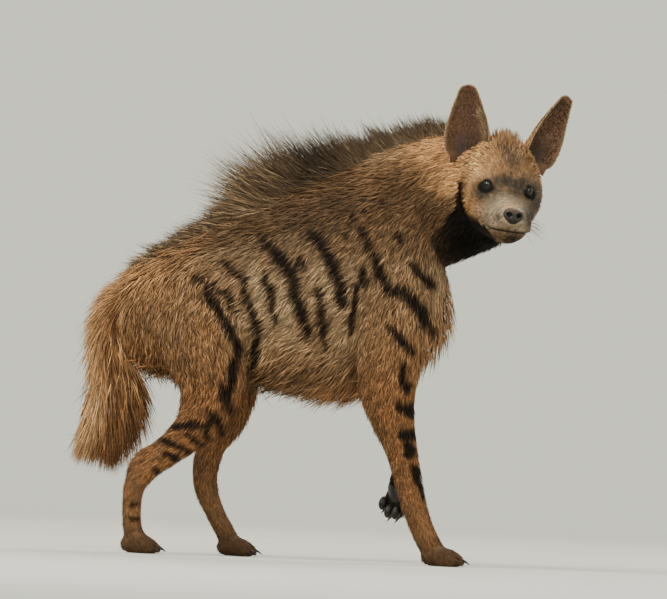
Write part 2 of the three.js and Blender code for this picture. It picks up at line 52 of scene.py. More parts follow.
# The share of the coat's locks that are grown, the lowest that anything reaches, and a full turn
SHARE = 1.0
GROUND = 0.3
CIRCLE = 2 * math.pi

# In the head's own axes: x to the nose, y to its left, z up
EYE_CENTRE = np.array([1.0, 33.5, 0.0])
EYE_RADIUS = 12.5
GAZE = np.array([0.74, 0.67, 0.05])
NOSE_CENTRE = np.array([103.0, 0.0, -39.0])
NOSE_RADII = np.array([12.0, 19.0, 15.0])
MOUTH_CORNER_X = 6.0
# Half widths of an ear in ten steps from its foot to its tip
EAR_WIDTHS = [34, 40, 41.5, 41.5, 39.5, 36.5, 32, 27.5, 22.5, 17.5, 14]
# The skin's fineness in metres, and the share of the coat's map that a lock takes
SKIN_VOXEL = 0.0050
PATCH = 0.003
# Millimetres to a pixel of the picture, its roll, and its pixel at the animal's origin
PHOTO_SCALE = 1.8
PHOTO_TURN = math.radians(2.58)
PHOTO_ORIGIN = np.array([300.0, 560.2])
PHOTO_FLIP = np.array([
    [math.cos(PHOTO_TURN), math.sin(PHOTO_TURN)], [math.sin(PHOTO_TURN), -math.cos(PHOTO_TURN)]])


def turn(axis, degrees):
    """The 3 by 3 matrix that turns by an angle about x, y or z."""
    return np.array(Matrix.Rotation(math.radians(degrees), 3, axis))


HEAD_TURN = turn("Z", -81) @ turn("Y", 6) @ turn("X", -5.6)
HEAD_ORIGIN = np.array([342.0, -165.0, 686.0])


def from_head(points):
    """Points in the head's axes, moved to the animal's."""
    return points @ HEAD_TURN.T + HEAD_ORIGIN


def to_head(points):
    """Points in the animal's axes, moved to the head's."""
    return (points - HEAD_ORIGIN) @ HEAD_TURN


def frame_shift():
    """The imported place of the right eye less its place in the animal's axes, in metres."""
    low, high = (np.array(corner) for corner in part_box("eye_right"))
    return (low + high) / 2 - from_head(EYE_CENTRE * [1, -1, 1]) / 1000


SHIFT = frame_shift()


# Sections are x, y, z of the middle, half width, reach above and reach below. A tube also has how
# far its skin lies inside the outline, station by station.
class Tube:
    """An oval section carried through stations by a smooth curve."""

    def __init__(self, name, upright, sunk, stations):
        self.name = name
        self.upright = upright
        table = np.array(stations, float)
        self.last = len(table) - 1
        sunk = np.interp(np.linspace(0, 1, len(table)), np.linspace(0, 1, len(sunk)), sunk)
        self.table = np.column_stack([table, sunk])

    def numbers(self, place):
        """The Catmull-Rom curve through the stations, with its ends held."""
        place = np.clip(place, 0, self.last)
        start = np.minimum(place.astype(int), self.last - 1)
        t = (place - start)[:, None]
        a, b, c, d = (self.table[np.clip(start + k, 0, self.last)] for k in (-1, 0, 1, 2))
        linear = (c - a) * t
        square = (2 * a - 5 * b + 4 * c - d) * t**2
        cube = (3 * b - a - 3 * c + d) * t**3
        return (2 * b + linear + square + cube) / 2

    def section(self, place):
        """Middle, direction, side and up of the sections, with their three reaches and skin depth."""
        numbers = self.numbers(place)
        along = self.numbers(np.minimum(place + 0.01, self.last)) - self.numbers(np.maximum(place - 0.01, 0))
        if self.upright:
            along = unit(along[:, :3] * [1, 1, 0])
            side = np.cross([0.0, 0.0, 1.0], along)
        else:
            along = unit(along[:, :3])
            side = unit(np.array([0.0, 1.0, 0.0]) - along * along[:, 1:2])
        return numbers[:, :3], along, side, np.cross(along, side), numbers[:, 3:6], numbers[:, 6]

    def points(self, place, angle):
        """Middle + side * half * cos(angle) + up * reach * sin(angle), drawn in by the skin's depth."""
        middle, _, side, up, reach, sunk = self.section(place)
        sine = np.sin(angle)
        height = np.where(sine > 0, reach[:, 1], reach[:, 2]) - sunk
        wide = (reach[:, 0] - sunk) * np.cos(angle)
        return middle + side * wide[:, None] + up * (height * sine)[:, None]


def unit(vectors):
    """Vectors made one long."""
    return vectors / np.maximum(np.linalg.norm(vectors, axis=-1, keepdims=True), 1e-9)


def smooth(low, high, value):
    """A soft step from 0 at low to 1 at high."""
    t = np.clip((value - low) / (high - low), 0, 1)
    return t * t * (3 - 2 * t)


def near(value, centre, spread):
    """A bell of height 1 about a centre."""
    return np.exp(-(((value - centre) / spread) ** 2))


def crossed(first, second):
    """Every pairing of two lists of values, the first list outermost, as two flat arrays."""
    return [grid.ravel() for grid in np.meshgrid(first, second, indexing="ij")]


def ring_angles(count):
    """Angles spread evenly over a full turn."""
    return np.arange(count) * CIRCLE / count


def within(points, low, high):
    """True for points inside the box between two corners."""
    return ((points > low) & (points < high)).all(1)


TORSO = Tube("torso", True, [14, 14, 15, 14, 11], [
    [-346, 0, 440, 22, 26, 30], [-328, 0, 434, 59.4, 74, 66], [-285, 0, 436, 81, 100, 96],
    [-215, 0, 448, 90, 132, 124], [-130, 0, 468, 95.4, 160, 144], [-45, 0, 492, 106.4, 182, 184],
    [45, 0, 512, 112, 204, 218], [125, 0, 530, 109.8, 216, 216], [180, 0, 556, 98.6, 190, 202],
    [214, 0, 560, 75, 165, 174], [236, 0, 556, 33.6, 105, 118]])
NECK = Tube("neck", True, [13, 12, 11, 10, 8], [
    [92, 2, 600, 84, 138, 110], [150, 3, 630, 88, 134, 128], [212, -1, 655, 85, 127, 130],
    [266, -16, 670, 80, 112, 122], [304, -46, 680, 76, 98, 112], [322, -82, 684, 66, 84, 98]])
HEAD = Tube("head", True, [9, 8, 7, 5, 3.2, 2.4, 2, 1.6, 1.2, 1, 1], [
    [-150, 0, 6, 58, 66, 72], [-112, 0, 2, 72, 86, 88], [-72, 0, -6, 75, 90, 90],
    [-36, 0, -14, 71, 80, 84], [-8, 0, -24, 60, 60, 74], [16, 0, -34, 49, 42, 64],
    [42, 0, -42, 42, 34, 54], [68, 0, -48, 39, 31, 44], [90, 0, -51, 34, 30, 36],
    [103, 0, -52, 25, 25, 27], [108, 0, -52, 10, 12, 12]])
FORE_RIGHT = Tube("fore_right", False, [12, 11, 8, 6, 4, 3.5, 3, 3, 2.5, 2.5, 2.5], [
    [128, -58, 600, 30, 50, 56], [150, -74, 500, 42, 60, 66], [152, -78, 405, 42, 60, 66],
    [143, -73, 325, 38, 55, 52], [155, -66, 262, 32, 40, 40], [171, -58, 208, 27, 32, 28],
    [187, -50, 152, 23, 28, 25], [202, -44, 102, 23, 26, 24], [216, -40, 66, 23, 24, 22],
    [230, -38, 40, 24, 24, 22], [248, -38, 22, 22, 18, 18]])
FORE_LEFT = Tube("fore_left", False, [12, 11, 8, 6, 4, 3.5, 3, 2.5, 2.5], [
    [128, 58, 600, 30, 50, 56], [146, 74, 510, 42, 60, 66], [138, 78, 430, 42, 58, 62],
    [126, 74, 360, 37, 48, 48], [141, 69, 300, 31, 36, 36], [160, 63, 250, 26, 29, 28],
    [178, 58, 208, 24, 26, 24], [180, 54, 172, 23, 22, 22], [168, 50, 140, 23, 18, 18]])
HIND_RIGHT = Tube("hind_right", False, [13, 13, 12, 9, 6, 4, 3.5, 3, 3, 2.5, 2.5, 2.5], [
    [-240, -36, 510, 22, 44, 40], [-222, -58, 446, 38, 80, 74], [-196, -68, 380, 42, 84, 74],
    [-177, -74, 318, 38, 66, 62], [-186, -76, 260, 32, 48, 46], [-213, -77, 221, 28, 36, 32],
    [-250, -77, 184, 24, 29, 28], [-282, -77, 154, 21, 25, 35], [-302, -77, 118, 20, 20, 24],
    [-307, -77, 78, 19, 19, 19], [-303, -77, 40, 20, 20, 19], [-290, -77, 22, 19, 18, 18]])
HIND_LEFT = Tube("hind_left", False, [13, 13, 12, 9, 6, 4, 3.5, 3, 3, 2.5, 2.5], [
    [-238, 36, 510, 22, 44, 40], [-212, 58, 446, 38, 80, 74], [-176, 68, 380, 42, 82, 74],
    [-148, 76, 312, 38, 62, 62], [-148, 79, 254, 32, 44, 46], [-168, 80, 203, 26, 29, 29],
    [-177, 80, 156, 23, 24, 26], [-173, 80, 114, 21, 22, 24], [-157, 80, 76, 20, 20, 20],
    [-138, 80, 42, 21, 20, 19], [-124, 80, 22, 19, 18, 18]])
TAIL = Tube("tail", False, [14, 15, 17, 20, 22, 20, 12], [
    [-312, 0, 466, 28, 24, 30], [-340, 0, 458, 33, 27, 32], [-362, -1, 424, 38, 30, 30],
    [-366, -3, 370, 40, 46, 32], [-358, -4, 308, 44, 66, 46], [-360, -5, 254, 36, 54, 44],
    [-368, -5, 216, 18, 28, 26]])
TUBES = [TORSO, NECK, HEAD, FORE_RIGHT, FORE_LEFT, HIND_RIGHT, HIND_LEFT, TAIL]
PLACE_OF = {tube.name: k for k, tube in enumerate(TUBES)}
LASTS = np.array([tube.last for tube in TUBES])
# The forms' columns in the tables that survey() makes
AT_TORSO, AT_NECK, AT_HEAD, AT_TAIL = 0, 1, 2, 7
LEGS = (3, 4, 5, 6)
# Corner and size of each form's share of the coat's map
TILES = np.array([
    [0.01, 0.01, 0.42, 0.60], [0.01, 0.64, 0.42, 0.33], [0.46, 0.64, 0.36, 0.33], [0.46, 0.01, 0.12, 0.60],
    [0.60, 0.01, 0.12, 0.60], [0.74, 0.01, 0.11, 0.60], [0.87, 0.01, 0.11, 0.60], [0.84, 0.64, 0.14, 0.33]])
# The margin round the map of a tube inside its tile
MARGIN = np.array([0.06, 0.03])
# Middle, spread and rise of the swellings of the face, made on both its sides
SWELLS = [
    ((0, 36, 21), 12, 5), ((16, 30, -6), 10, -5), ((12, 0, 12), 15, -5), ((-34, 62, -20), 24, 4),
    ((-24, 58, 34), 18, -4), ((80, 24, -60), 14, 4), ((76, 0, -92), 14, 3)]
# The skin's own folds, finer than the solids': lip pads, chin, tear groove, brow and cheek lines
FOLDS = [
    ((88, 24, -50), 8, 1.6), ((60, 38, -62), 9, 1.2), ((86, 0, -84), 8, 1.4), ((26, 27, -14), 5, -1.6),
    ((20, 22, 12), 7, 1.4), ((44, 40, -74), 15, 4.5), ((36, 36, -34), 10, -1.4), ((92, 14, -32), 5, -1.2),
    ((100, 0, -60), 3, -1.2)]


def mouth_height(x):
    """The height of the line of the mouth, which curls up at its corner."""
    return -68 + 19 * (np.maximum(84 - x, 0) / 72) ** 2.2


def head_surface(place, angle):
    """The head's tube, pushed from its middle by bells at the swellings, folds, mouth and nostrils."""
    plain = HEAD.points(place, angle)
    outward = unit(plain - HEAD.section(place)[0])
    rise = np.zeros(len(plain))
    for centre, spread, height in SWELLS + FOLDS:
        for hand in ([1] if centre[1] == 0 else [-1, 1]):
            off = np.linalg.norm(plain - np.array(centre) * [1, hand, 1], axis=1)
            rise += height * np.exp(-off**2 / (2 * spread**2))
    gap = plain[:, 2] - mouth_height(plain[:, 0])
    along = smooth(MOUTH_CORNER_X - 4, MOUTH_CORNER_X + 6, plain[:, 0])
    rise += along * (2.0 * near(gap, 5, 4) - 1.2 * near(gap, -5, 5) - 2.2 * near(gap, -0.5, 1.8))
    for hand in (-1, 1):
        off = np.linalg.norm(plain - EYE_CENTRE * [1, hand, 1], axis=1)
        rise -= 4 * np.exp(-(off / 13) ** 4)
    return lidded(plain + outward * rise[:, None])


def eye_axes(hand):
    """An eye's middle, the way it looks, and the ways across and up, in the head's axes."""
    gaze = unit(GAZE * [1, hand, 1])
    side = unit(np.cross([0, 0, 1.0], gaze))
    return EYE_CENTRE * [1, hand, 1], gaze, side, np.cross(gaze, side)


def lidded(points):
    """Skin raised over the rim of each eyeball: a ball a little larger than the eye's, that slopes away round it
    and is left open in an oval before the gaze."""
    for hand in (-1, 1):
        centre, gaze, side, up = eye_axes(hand)
        off = points - centre
        ahead, across, above = off @ gaze, off @ side, off @ up
        wide = np.hypot(across / 1.2, above)
        ball = np.sqrt((EYE_RADIUS + 1.2) ** 2 - np.minimum(np.hypot(across, above), 11) ** 2)
        over = ball - 0.8 * np.maximum(wide - 11, 0)
        raised = (ahead + over + np.sqrt((ahead - over) ** 2 + 4)) / 2
        weight = smooth(6.8, 8.8, wide) * smooth(34, 24, wide) * (ahead > -16)
        points = points + gaze * (weight * (raised - ahead))[:, None]
    return points


def sheet_faces(rows, columns, round_it=False):
    """Four-cornered faces over rows by columns of points, closed round the rows if told."""
    row, column = crossed(np.arange(rows - 1), np.arange(columns if round_it else columns - 1))
    after = (column + 1) % columns
    here, there = row * columns, (row + 1) * columns
    return np.stack([here + column, here + after, there + after, there + column], 1)


def fans(rings, sides):
    """Three-cornered faces that join the first and last ring of a grid to the two points that follow it."""
    side = np.arange(sides)
    after = (side + 1) % sides
    pole = rings * sides
    far = pole - sides
    return np.concatenate([
        np.stack([np.full(sides, pole), after, side], 1),
        np.stack([np.full(sides, pole + 1), far + side, far + after], 1)])


def tube_grid(tube, rings, sides, surface=None):
    """A closed tube's points and faces: rings of points on its surface, with a point at each end."""
    places = np.linspace(0, tube.last, rings)
    points = (surface or tube.points)(*crossed(places, ring_angles(sides)))
    ends = tube.section(places[[0, -1]])[0]
    return np.concatenate([points, ends]), sheet_faces(rings, sides, True), fans(rings, sides)


def ball_grid(centre, radii, rows=20, columns=28):
    """Centre + radii * (sin a cos b, sin a sin b, cos a), with closed poles."""
    a, b = crossed(np.linspace(0.02, math.pi - 0.02, rows), ring_angles(columns))
    ball = np.stack([np.sin(a) * np.cos(b), np.sin(a) * np.sin(b), np.cos(a)], -1)
    points = np.array(centre) + np.array(radii) * np.concatenate([ball, [[0, 0, 1.0], [0, 0, -1.0]]])
    return points, sheet_faces(rows, columns, True)[:, ::-1], fans(rows, columns)[:, [0, 2, 1]]


def new_mesh(name, points, faces):
    """A mesh object at the origin from points in millimetres and arrays of faces, each with its own number of
    corners."""
    mesh = bpy.data.meshes.new(name)
    mesh.vertices.add(len(points))
    mesh.vertices.foreach_set("co", (points / 1000 + SHIFT).astype(np.float32).ravel())
    corners = np.concatenate([group.ravel() for group in faces]).astype(np.int32)
    sizes = np.concatenate([np.full(len(group), group.shape[1], np.int32) for group in faces])
    mesh.loops.add(len(corners))
    mesh.loops.foreach_set("vertex_index", corners)
    mesh.polygons.add(len(sizes))
    mesh.polygons.foreach_set("loop_start", np.concatenate([[0], np.cumsum(sizes)[:-1]]).astype(np.int32))
    mesh.update(calc_edges=True)
    made = bpy.data.objects.new(name, mesh)
    bpy.context.scene.collection.objects.link(made)
    softened(made)
    return made


def softened(made):
    """Shades a piece's faces smooth."""
    made.data.polygons.foreach_set("use_smooth", np.full(len(made.data.polygons), True))


def vectors_of(items, name):
    """A vector that each item of a mesh carries, as rows."""
    flat = np.empty(len(items) * 3, np.float32)
    items.foreach_get(name, flat)
    return flat.reshape(-1, 3).astype(float)


def mesh_points(mesh):
    """A mesh's points in the animal's millimetres."""
    return (vectors_of(mesh.vertices, "co") - SHIFT) * 1000


def set_points(mesh, points):
    """Moves a mesh's points to places in the animal's millimetres."""
    mesh.vertices.foreach_set("co", (points / 1000 + SHIFT).astype(np.float32).ravel())
    mesh.update()


def finished(made):
    """The object's mesh with its modifiers worked in."""
    bpy.context.view_layer.update()
    worked = bpy.data.meshes.new_from_object(made.evaluated_get(bpy.context.evaluated_depsgraph_get()))
    made.modifiers.clear()
    old, made.data = made.data, worked
    bpy.data.meshes.remove(old)
    return made


def turned_out(made, merge=False):
    """Works out again which way a piece's faces point, after merging its doubles if told."""
    shape = bmesh.new()
    shape.from_mesh(made.data)
    if merge:
        bmesh.ops.remove_doubles(shape, verts=shape.verts, dist=1e-6)
    bmesh.ops.recalc_face_normals(shape, faces=shape.faces)
    shape.to_mesh(made.data)
    shape.free()


def dressed(made, finish):
    """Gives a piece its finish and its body."""
    finish.on(made)
    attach(made, "root")


def eased(mesh, rounds):
    """Moves every point halfway to the mean of its neighbours, some rounds."""
    edges = np.empty(len(mesh.edges) * 2, np.int32)
    mesh.edges.foreach_get("vertices", edges)
    a, b = edges.reshape(-1, 2).T
    points = mesh_points(mesh)
    count = np.bincount(np.concatenate([a, b]), minlength=len(points))[:, None]
    for _ in range(rounds):
        total = np.stack([
            np.bincount(a, points[b, k], len(points)) + np.bincount(b, points[a, k], len(points))
            for k in range(3)], 1)
        points += 0.5 * (total / count - points)
    set_points(mesh, points)


# Heel, toes and upper side of each foot, with its length and breadth and whether it is lifted
FEET = [
    ((217, -38, 0), (1, -0.04, 0), (0, 0, 1), 82, 35, False),
    ((178, 52, 160), (-0.24, -0.1, -0.97), (0.62, 0.7, 0), 82, 35, True),
    ((-325, -77, 0), (1, -0.06, 0), (0, 0, 1), 76, 31, False),
    ((-152, 80, 0), (1, 0.06, 0), (0, 0, 1), 76, 31, False)]


def foot_frames():
    """Each foot's three axes as columns, its heel, length and breadth, and whether it is lifted."""
    for heel, toes, top, length, breadth, lifted in FEET:
        x = unit(np.array(toes, float))
        z = np.array(top, float)
        z = unit(z - x * z.dot(x))
        yield np.stack([x, np.cross(z, x), z], 1), np.array(heel, float), length, breadth, lifted


FOOT_FRAMES = list(foot_frames())


def toe_tubes(length, breadth):
    """The four toes of a foot in its own axes, each with its reach and place across."""
    for place in (-1.5, -0.5, 0.5, 1.5):
        reach = length if abs(place) < 1 else 0.85 * length
        y = place * breadth * 0.5
        yield reach, y, Tube("toe", True, [1.2], [
            [0.34 * length, 0.86 * y, 22, 9, 12, 24], [0.6 * length, 0.92 * y, 22, 10.5, 12, 25],
            [reach - 16, y, 15, 10.5, 12, 18], [reach - 2, 1.06 * y, 11, 5, 5, 10]])


def gathered(parts):
    """Several shapes' points and faces as one."""
    points, quads, caps, start = [], [], [], 0
    for some, four, three in parts:
        points.append(some)
        quads.append(four + start)
        caps.append(three + start)
        start += len(some)
    return np.concatenate(points), [np.concatenate(quads), np.concatenate(caps)]


def flesh_parts():
    """The body's tubes, the head, the toes and the middles of the feet, each a closed shape."""
    for tube in TUBES:
        if tube is not HEAD:
            yield tube_grid(tube, 12 * tube.last + 1, 72)
    points, quads, caps = tube_grid(HEAD, 161, 140, head_surface)
    yield from_head(points), quads, caps
    for axes, base, length, breadth, _ in FOOT_FRAMES:
        shapes = [tube_grid(tube, 31, 24) for _, _, tube in toe_tubes(length, breadth)]
        shapes.append(ball_grid((0.3 * length, 0, 16), (0.31 * length, 0.63 * breadth, 18)))
        for points, quads, caps in shapes:
            yield points @ axes.T + base, quads, caps


def part_toes(mesh):
    """Presses three grooves into each foot, between its toes, along the skin's normals."""
    points = mesh_points(mesh)
    normals = vectors_of(mesh.vertices, "normal")
    for axes, base, length, breadth, _ in FOOT_FRAMES:
        local = (points - base) @ axes
        here = within(local, (-np.inf, -1.2 * breadth, -9), (1.3 * length, 1.2 * breadth, 39))
        here = here * smooth(0.5, 0.72, local[:, 0] / length)
        depth = sum(near(local[:, 1], middle * breadth * 0.5, 2.6) for middle in (-1, 0, 1))
        points -= normals * (4.2 * depth * here)[:, None]
    points[:, 2] = np.maximum(points[:, 2], GROUND)
    set_points(mesh, points)


def cut_finer(shape, chosen, cuts):
    """Cuts every edge of a shape whose two points are both chosen, and the faces between such edges."""
    shape.verts.ensure_lookup_table()
    shape.verts.index_update()
    chosen = chosen.tolist()
    edges = [edge for edge in shape.edges if chosen[edge.verts[0].index] and chosen[edge.verts[1].index]]
    bmesh.ops.subdivide_edges(shape, edges=edges, cuts=cuts, use_grid_fill=True)


def make_skin():
    """The flesh as one closed skin: remeshed, eased, made finer on the face and feet, and laid on the head's
    form."""
    skin = new_mesh("skin", *gathered(list(flesh_parts())))
    remesh = skin.modifiers.new("one skin", "REMESH")
    remesh.mode = "VOXEL"
    remesh.voxel_size = SKIN_VOXEL
    finished(skin)
    eased(skin.data, 5)
    shape = bmesh.new()
    shape.from_mesh(skin.data)
    cut_finer(shape, within(to_head(mesh_points(skin.data)), (-30, -90, -110), (130, 90, 110)), 2)
    shape.to_mesh(skin.data)
    points = mesh_points(skin.data)
    on_toes = np.zeros(len(points), bool)
    for axes, base, length, breadth, _ in FOOT_FRAMES:
        local = (points - base) @ axes
        on_toes |= within(local, (0.4 * length, -1.3 * breadth, -8), (np.inf, 1.3 * breadth, 44))
    cut_finer(shape, on_toes, 1)
    shape.to_mesh(skin.data)
    shape.free()
    local = to_head(mesh_points(skin.data))
    weight = smooth(-44, -20, local[:, 0]) * within(local, (-np.inf, -100, -120), (130, 100, 120))
    group = skin.vertex_groups.new(name="face")
    for level in range(1, 11):
        chosen = np.flatnonzero(np.round(weight * 10) == level)
        if len(chosen):
            group.add(chosen.tolist(), level / 10, "REPLACE")
    points, quads, caps = tube_grid(HEAD, 301, 260, head_surface)
    form = new_mesh("head form", from_head(points), [quads, caps])
    wrap = skin.modifiers.new("laid on the face", "SHRINKWRAP")
    wrap.target = form
    wrap.wrap_method = "NEAREST_SURFACEPOINT"
    wrap.vertex_group = "face"
    finished(skin)
    bpy.data.objects.remove(form)
    skin.vertex_groups.clear()
    part_toes(skin.data)
    softened(skin)
    return skin


def tube_samples():
    """Points spread over each tube's skin, with their places."""
    samples = []
    for tube in TUBES:
        place, angle = crossed(np.linspace(0, tube.last, 5 * tube.last + 1), np.arange(40) * math.pi / 20)
        points = tube.points(place, angle)
        samples.append((from_head(points) if tube is HEAD else points, place))
    return samples


SAMPLES = tube_samples()


def survey(points):
    """For each point and tube: the place and angle of the tube's nearest skin, and how near it is."""
    count, step = len(points), 20000
    place, angle, off = (np.zeros((count, len(TUBES))) for _ in range(3))
    for k, (tube, (spots, places)) in enumerate(zip(TUBES, SAMPLES)):
        square = (spots**2).sum(1)
        for start in range(0, count, step):
            part = slice(start, start + step)
            some = points[part]
            gap = square - 2 * (some.astype(np.float32) @ spots.T.astype(np.float32))
            best = gap.argmin(1)
            at = places[best]
            local = to_head(some) if tube is HEAD else some
            middle, along = tube.section(at)[:2]
            after, before = np.minimum(at + 0.05, tube.last), np.maximum(at - 0.05, 0)
            stride = np.linalg.norm((tube.numbers(after) - tube.numbers(before))[:, :3], axis=1) / 0.1
            at = np.clip(at + ((local - middle) * along).sum(1) / np.maximum(stride, 1), 0, tube.last)
            middle, _, side, up, reach, _ = tube.section(at)
            high = ((local - middle) * up).sum(1)
            wide = ((local - middle) * side).sum(1)
            high = high / np.where(high > 0, reach[:, 1], reach[:, 2])
            place[part, k] = at
            angle[part, k] = np.arctan2(high, wide / reach[:, 0])
            off[part, k] = np.linalg.norm(some - spots[best], axis=1)
    return place, angle, off


def coat_map(owner, place, angle):
    """The coat's map: each tube unrolled into its own tile, angle across and place up."""
    tile = TILES[owner]
    spot = np.stack([(angle / CIRCLE + 0.25) % 1.0, place / LASTS[owner]], 1)
    return tile[:, :2] + tile[:, 2:] * (MARGIN + (1 - 2 * MARGIN) * spot)


def map_on(tube, place, angle):
    """Places on one tube in the coat's map."""
    return coat_map(np.full(len(place), PLACE_OF[tube.name]), place, angle)


def photo_spot(picture):
    """Places across and down the picture as x and z on the animal."""
    return PHOTO_SCALE * (np.array(picture, float) - PHOTO_ORIGIN) @ PHOTO_FLIP


def picture_place(points):
    """The picture's places across and down of points on the animal."""
    return (PHOTO_ORIGIN + points[:, [0, 2]] @ PHOTO_FLIP / PHOTO_SCALE).T


# Each stripe of the side: half width in millimetres at its middle, then its places down the body
STRIPES = [
    (11, [
        (361, 231), (369, 248), (378, 265), (383, 281), (392, 290), (404, 293), (413, 302), (421, 314), (427, 328)]),
    (8, [(409, 263), (420, 276), (431, 287)]),
    (13, [(311, 234), (321, 243), (328, 257), (335, 272), (342, 290), (343, 305)]),
    (12, [(262, 240), (272, 250), (282, 260), (290, 272), (296, 290), (300, 307), (306, 324), (308, 336)]),
    (8, [(318, 288), (321, 303), (323, 321), (326, 347)]),
    (7, [(358, 281), (356, 300), (353, 318), (349, 334)]),
    (6, [(363, 267), (366, 285)]),
    (9, [(221, 262), (232, 271), (244, 281), (248, 302), (256, 317), (258, 334), (256, 350), (256, 364)]),
    (9, [
        (196, 279), (208, 286), (213, 302), (220, 314), (227, 327), (234, 340), (235, 354), (232, 372), (229, 395)]),
    (7, [(216, 283), (228, 296), (236, 311)]),
    (7, [(264, 274), (271, 286), (272, 307), (276, 322)]),
    (7, [(299, 258), (306, 270)]),
    (9, [(220, 384), (225, 400), (233, 415)]),
    (9, [(210, 410), (217, 424), (226, 434)]),
    (8, [(388, 326), (400, 338), (410, 351)]),
    (6, [(398, 234), (401, 241)]),
    (6, [(342, 230), (346, 238)]),
    (5, [(352, 216), (357, 222)]),
    (5, [(366, 211), (371, 217)]),
    (5, [(380, 200), (383, 205)]),
    (6, [(402, 366), (403, 386)]),
    (9, [(402, 381), (405, 390)]),
    (15, [(399, 407), (407, 410), (414, 409)]),
    (10, [(401, 433), (408, 436), (415, 432)]),
    (12, [(407, 447), (411, 454)]),
    (7, [(414, 466), (417, 481)]),
    (7, [(420, 484), (423, 499)]),
    (7, [(175, 428), (192, 424), (208, 424)]),
    (6, [(203, 428), (210, 440)]),
    (6, [(186, 434), (200, 444)]),
    (6, [(163, 439), (179, 445), (193, 452)]),
    (5, [(163, 454), (180, 460)]),
    (5, [(153, 468), (160, 476)]),
    (4, [(130, 505), (138, 504)]),
    (4, [(130, 519), (138, 518)]),
]
THROAT = [
    (458, 182), (467, 182), (469, 200), (473, 209), (481, 222), (493, 238), (504, 247), (484, 258), (460, 274),
    (446, 273), (435, 262), (430, 237), (444, 222), (454, 207)]
# Soft patches as the picture shows them: place across and down, reach across and down, hue and strength.
# Those of the body:
# The sand patch on the tail's outer side is painted highlight.
BODY = [
    (345, 185, 48, 30, "umber", 0.3), (330, 218, 55, 20, "umber", 0.45), (404, 190, 24, 26, "umber", 0.4),
    (429, 218, 16, 20, "umber", 0.7), (375, 155, 30, 14, "grey buff", 0.5), (436, 152, 18, 16, "tawny", 0.5),
    (285, 224, 42, 18, "umber", 0.45), (235, 240, 36, 16, "umber", 0.4), (290, 377, 60, 14, "umber", 0.5),
    (335, 388, 36, 10, "rust", 0.4), (205, 325, 18, 34, "rust", 0.4), (148, 275, 24, 24, "tawny", 0.55),
    (108, 330, 18, 50, "highlight sand", 0.7), (96, 400, 14, 40, "tawny", 0.5), (300, 300, 60, 40, "grey buff", 0.25),
    (395, 345, 16, 30, "tawny", 0.25), (350, 350, 16, 26, "grey buff", 0.3)]
# Those of the face:
# The sand patches at the temple and brow are painted highlight.
FACE = [
    (505, 168, 30, 26, "brown", 0.5), (503, 141, 9, 11, "slate", 0.65), (512, 158, 9, 15, "slate", 0.6),
    (524, 160, 14, 18, "umber", 0.25), (472, 160, 10, 15, "highlight sand", 0.7), (484, 175, 11, 4, "highlight sand", 0.4),
    (507, 182, 11, 6, "slate", 0.85), (519, 184, 13, 7, "slate", 0.9), (518, 191, 11, 7, "slate", 0.7),
    (487, 189, 14, 10, "slate", 0.95), (480, 195, 7, 8, "slate", 0.85), (532, 193, 10, 12, "slate", 0.95),
    (536, 205, 7, 12, "slate", 0.85), (503, 203, 8, 6, "cream", 0.6), (490, 211, 8, 6, "cream", 0.4),
    (497, 218, 4, 6, "slate", 0.6), (476, 214, 5, 8, "ash", 0.4), (503, 228, 11, 5, "umber", 0.55),
    (495, 180, 9, 7, "slate", 0.5), (511, 206, 9, 2.5, "tawny", 0.6), (493, 225, 12, 6, "ash", 0.6),
    (529, 217, 6, 12, "slate", 0.85), (511, 240, 12, 7, "dark", 0.95), (496, 236, 9, 4, "umber", 0.6)]


def line_gap(spots, ends):
    """Distance to a line of straight runs, and how far along it, from 0 to 1, the nearest place is."""
    best = np.full(len(spots), 1e9)
    where = np.zeros(len(spots))
    for k in range(len(ends) - 1):
        run = ends[k + 1] - ends[k]
        t = np.clip(((spots - ends[k]) @ run) / (run @ run), 0, 1)
        gap = np.linalg.norm(spots - ends[k] - t[:, None] * run, axis=1)
        closer = gap < best
        best = np.where(closer, gap, best)
        where = np.where(closer, (k + t) / (len(ends) - 1), where)
    return best, where


def inside(spots, corners):
    """True inside a closed outline, by counting the sides crossed."""
    hits = np.zeros(len(spots), bool)
    for k in range(len(corners)):
        (x0, z0), (x1, z1) = corners[k - 1], corners[k]
        crosses = (z0 > spots[:, 1]) != (z1 > spots[:, 1])
        at = x0 + (spots[:, 1] - z0) * (x1 - x0) / (z1 - z0 if z1 != z0 else 1e-9)
        hits ^= crosses & (spots[:, 0] < at)
    return hits


def ripple(points, scale, seed):
    """A slow mixing of sine waves in all directions, about -1 to 1."""
    draws = np.random.default_rng(seed)
    total = np.zeros(len(points))
    for _ in range(6):
        wave = unit(draws.normal(size=3)) * CIRCLE / (scale * draws.uniform(0.7, 1.5))
        total += np.sin(points @ wave + draws.uniform(0, 6.28))
    return total / 3


# Sand is a painted highlight hue, laid only where the light falls brightest: the tail's outer side, the temple and
# the brow.
HUES = {
    "tawny": (220, 166, 112), "buff": (190, 160, 122), "grey buff": (160, 138, 108), "rust": (164, 114, 72),
    "brown": (116, 86, 60), "umber": (76, 58, 42), "dark": (32, 26, 21), "black": (11, 10, 9),
    "highlight sand": (250, 198, 140), "cream": (216, 196, 166), "slate": (60, 54, 47), "ash": (160, 142, 116)}
HUES = {name: np.array(value) / 255 for name, value in HUES.items()}


def blend(under, over, weight):
    """One colour laid over another, each by name or by value, by a weight for each point."""
    under, over = (HUES[hue] if isinstance(hue, str) else hue for hue in (under, over))
    return under + (over - under) * np.clip(weight, 0, 1)[:, None]


def patched(colour, patches, weight, across, down):
    """A colour with soft patches laid over it, at the picture's places."""
    for u, v, reach_u, reach_v, hue, strength in patches:
        bell = np.exp(-((across - u) / reach_u) ** 2 - ((down - v) / reach_v) ** 2)
        colour = blend(colour, hue, strength * weight * bell)
    return colour


def shares(off):
    """How much each tube has a say at each point, by nearness."""
    weight = np.exp(-(off - off.min(1, keepdims=True)) / 12)
    return weight / weight.sum(1, keepdims=True)


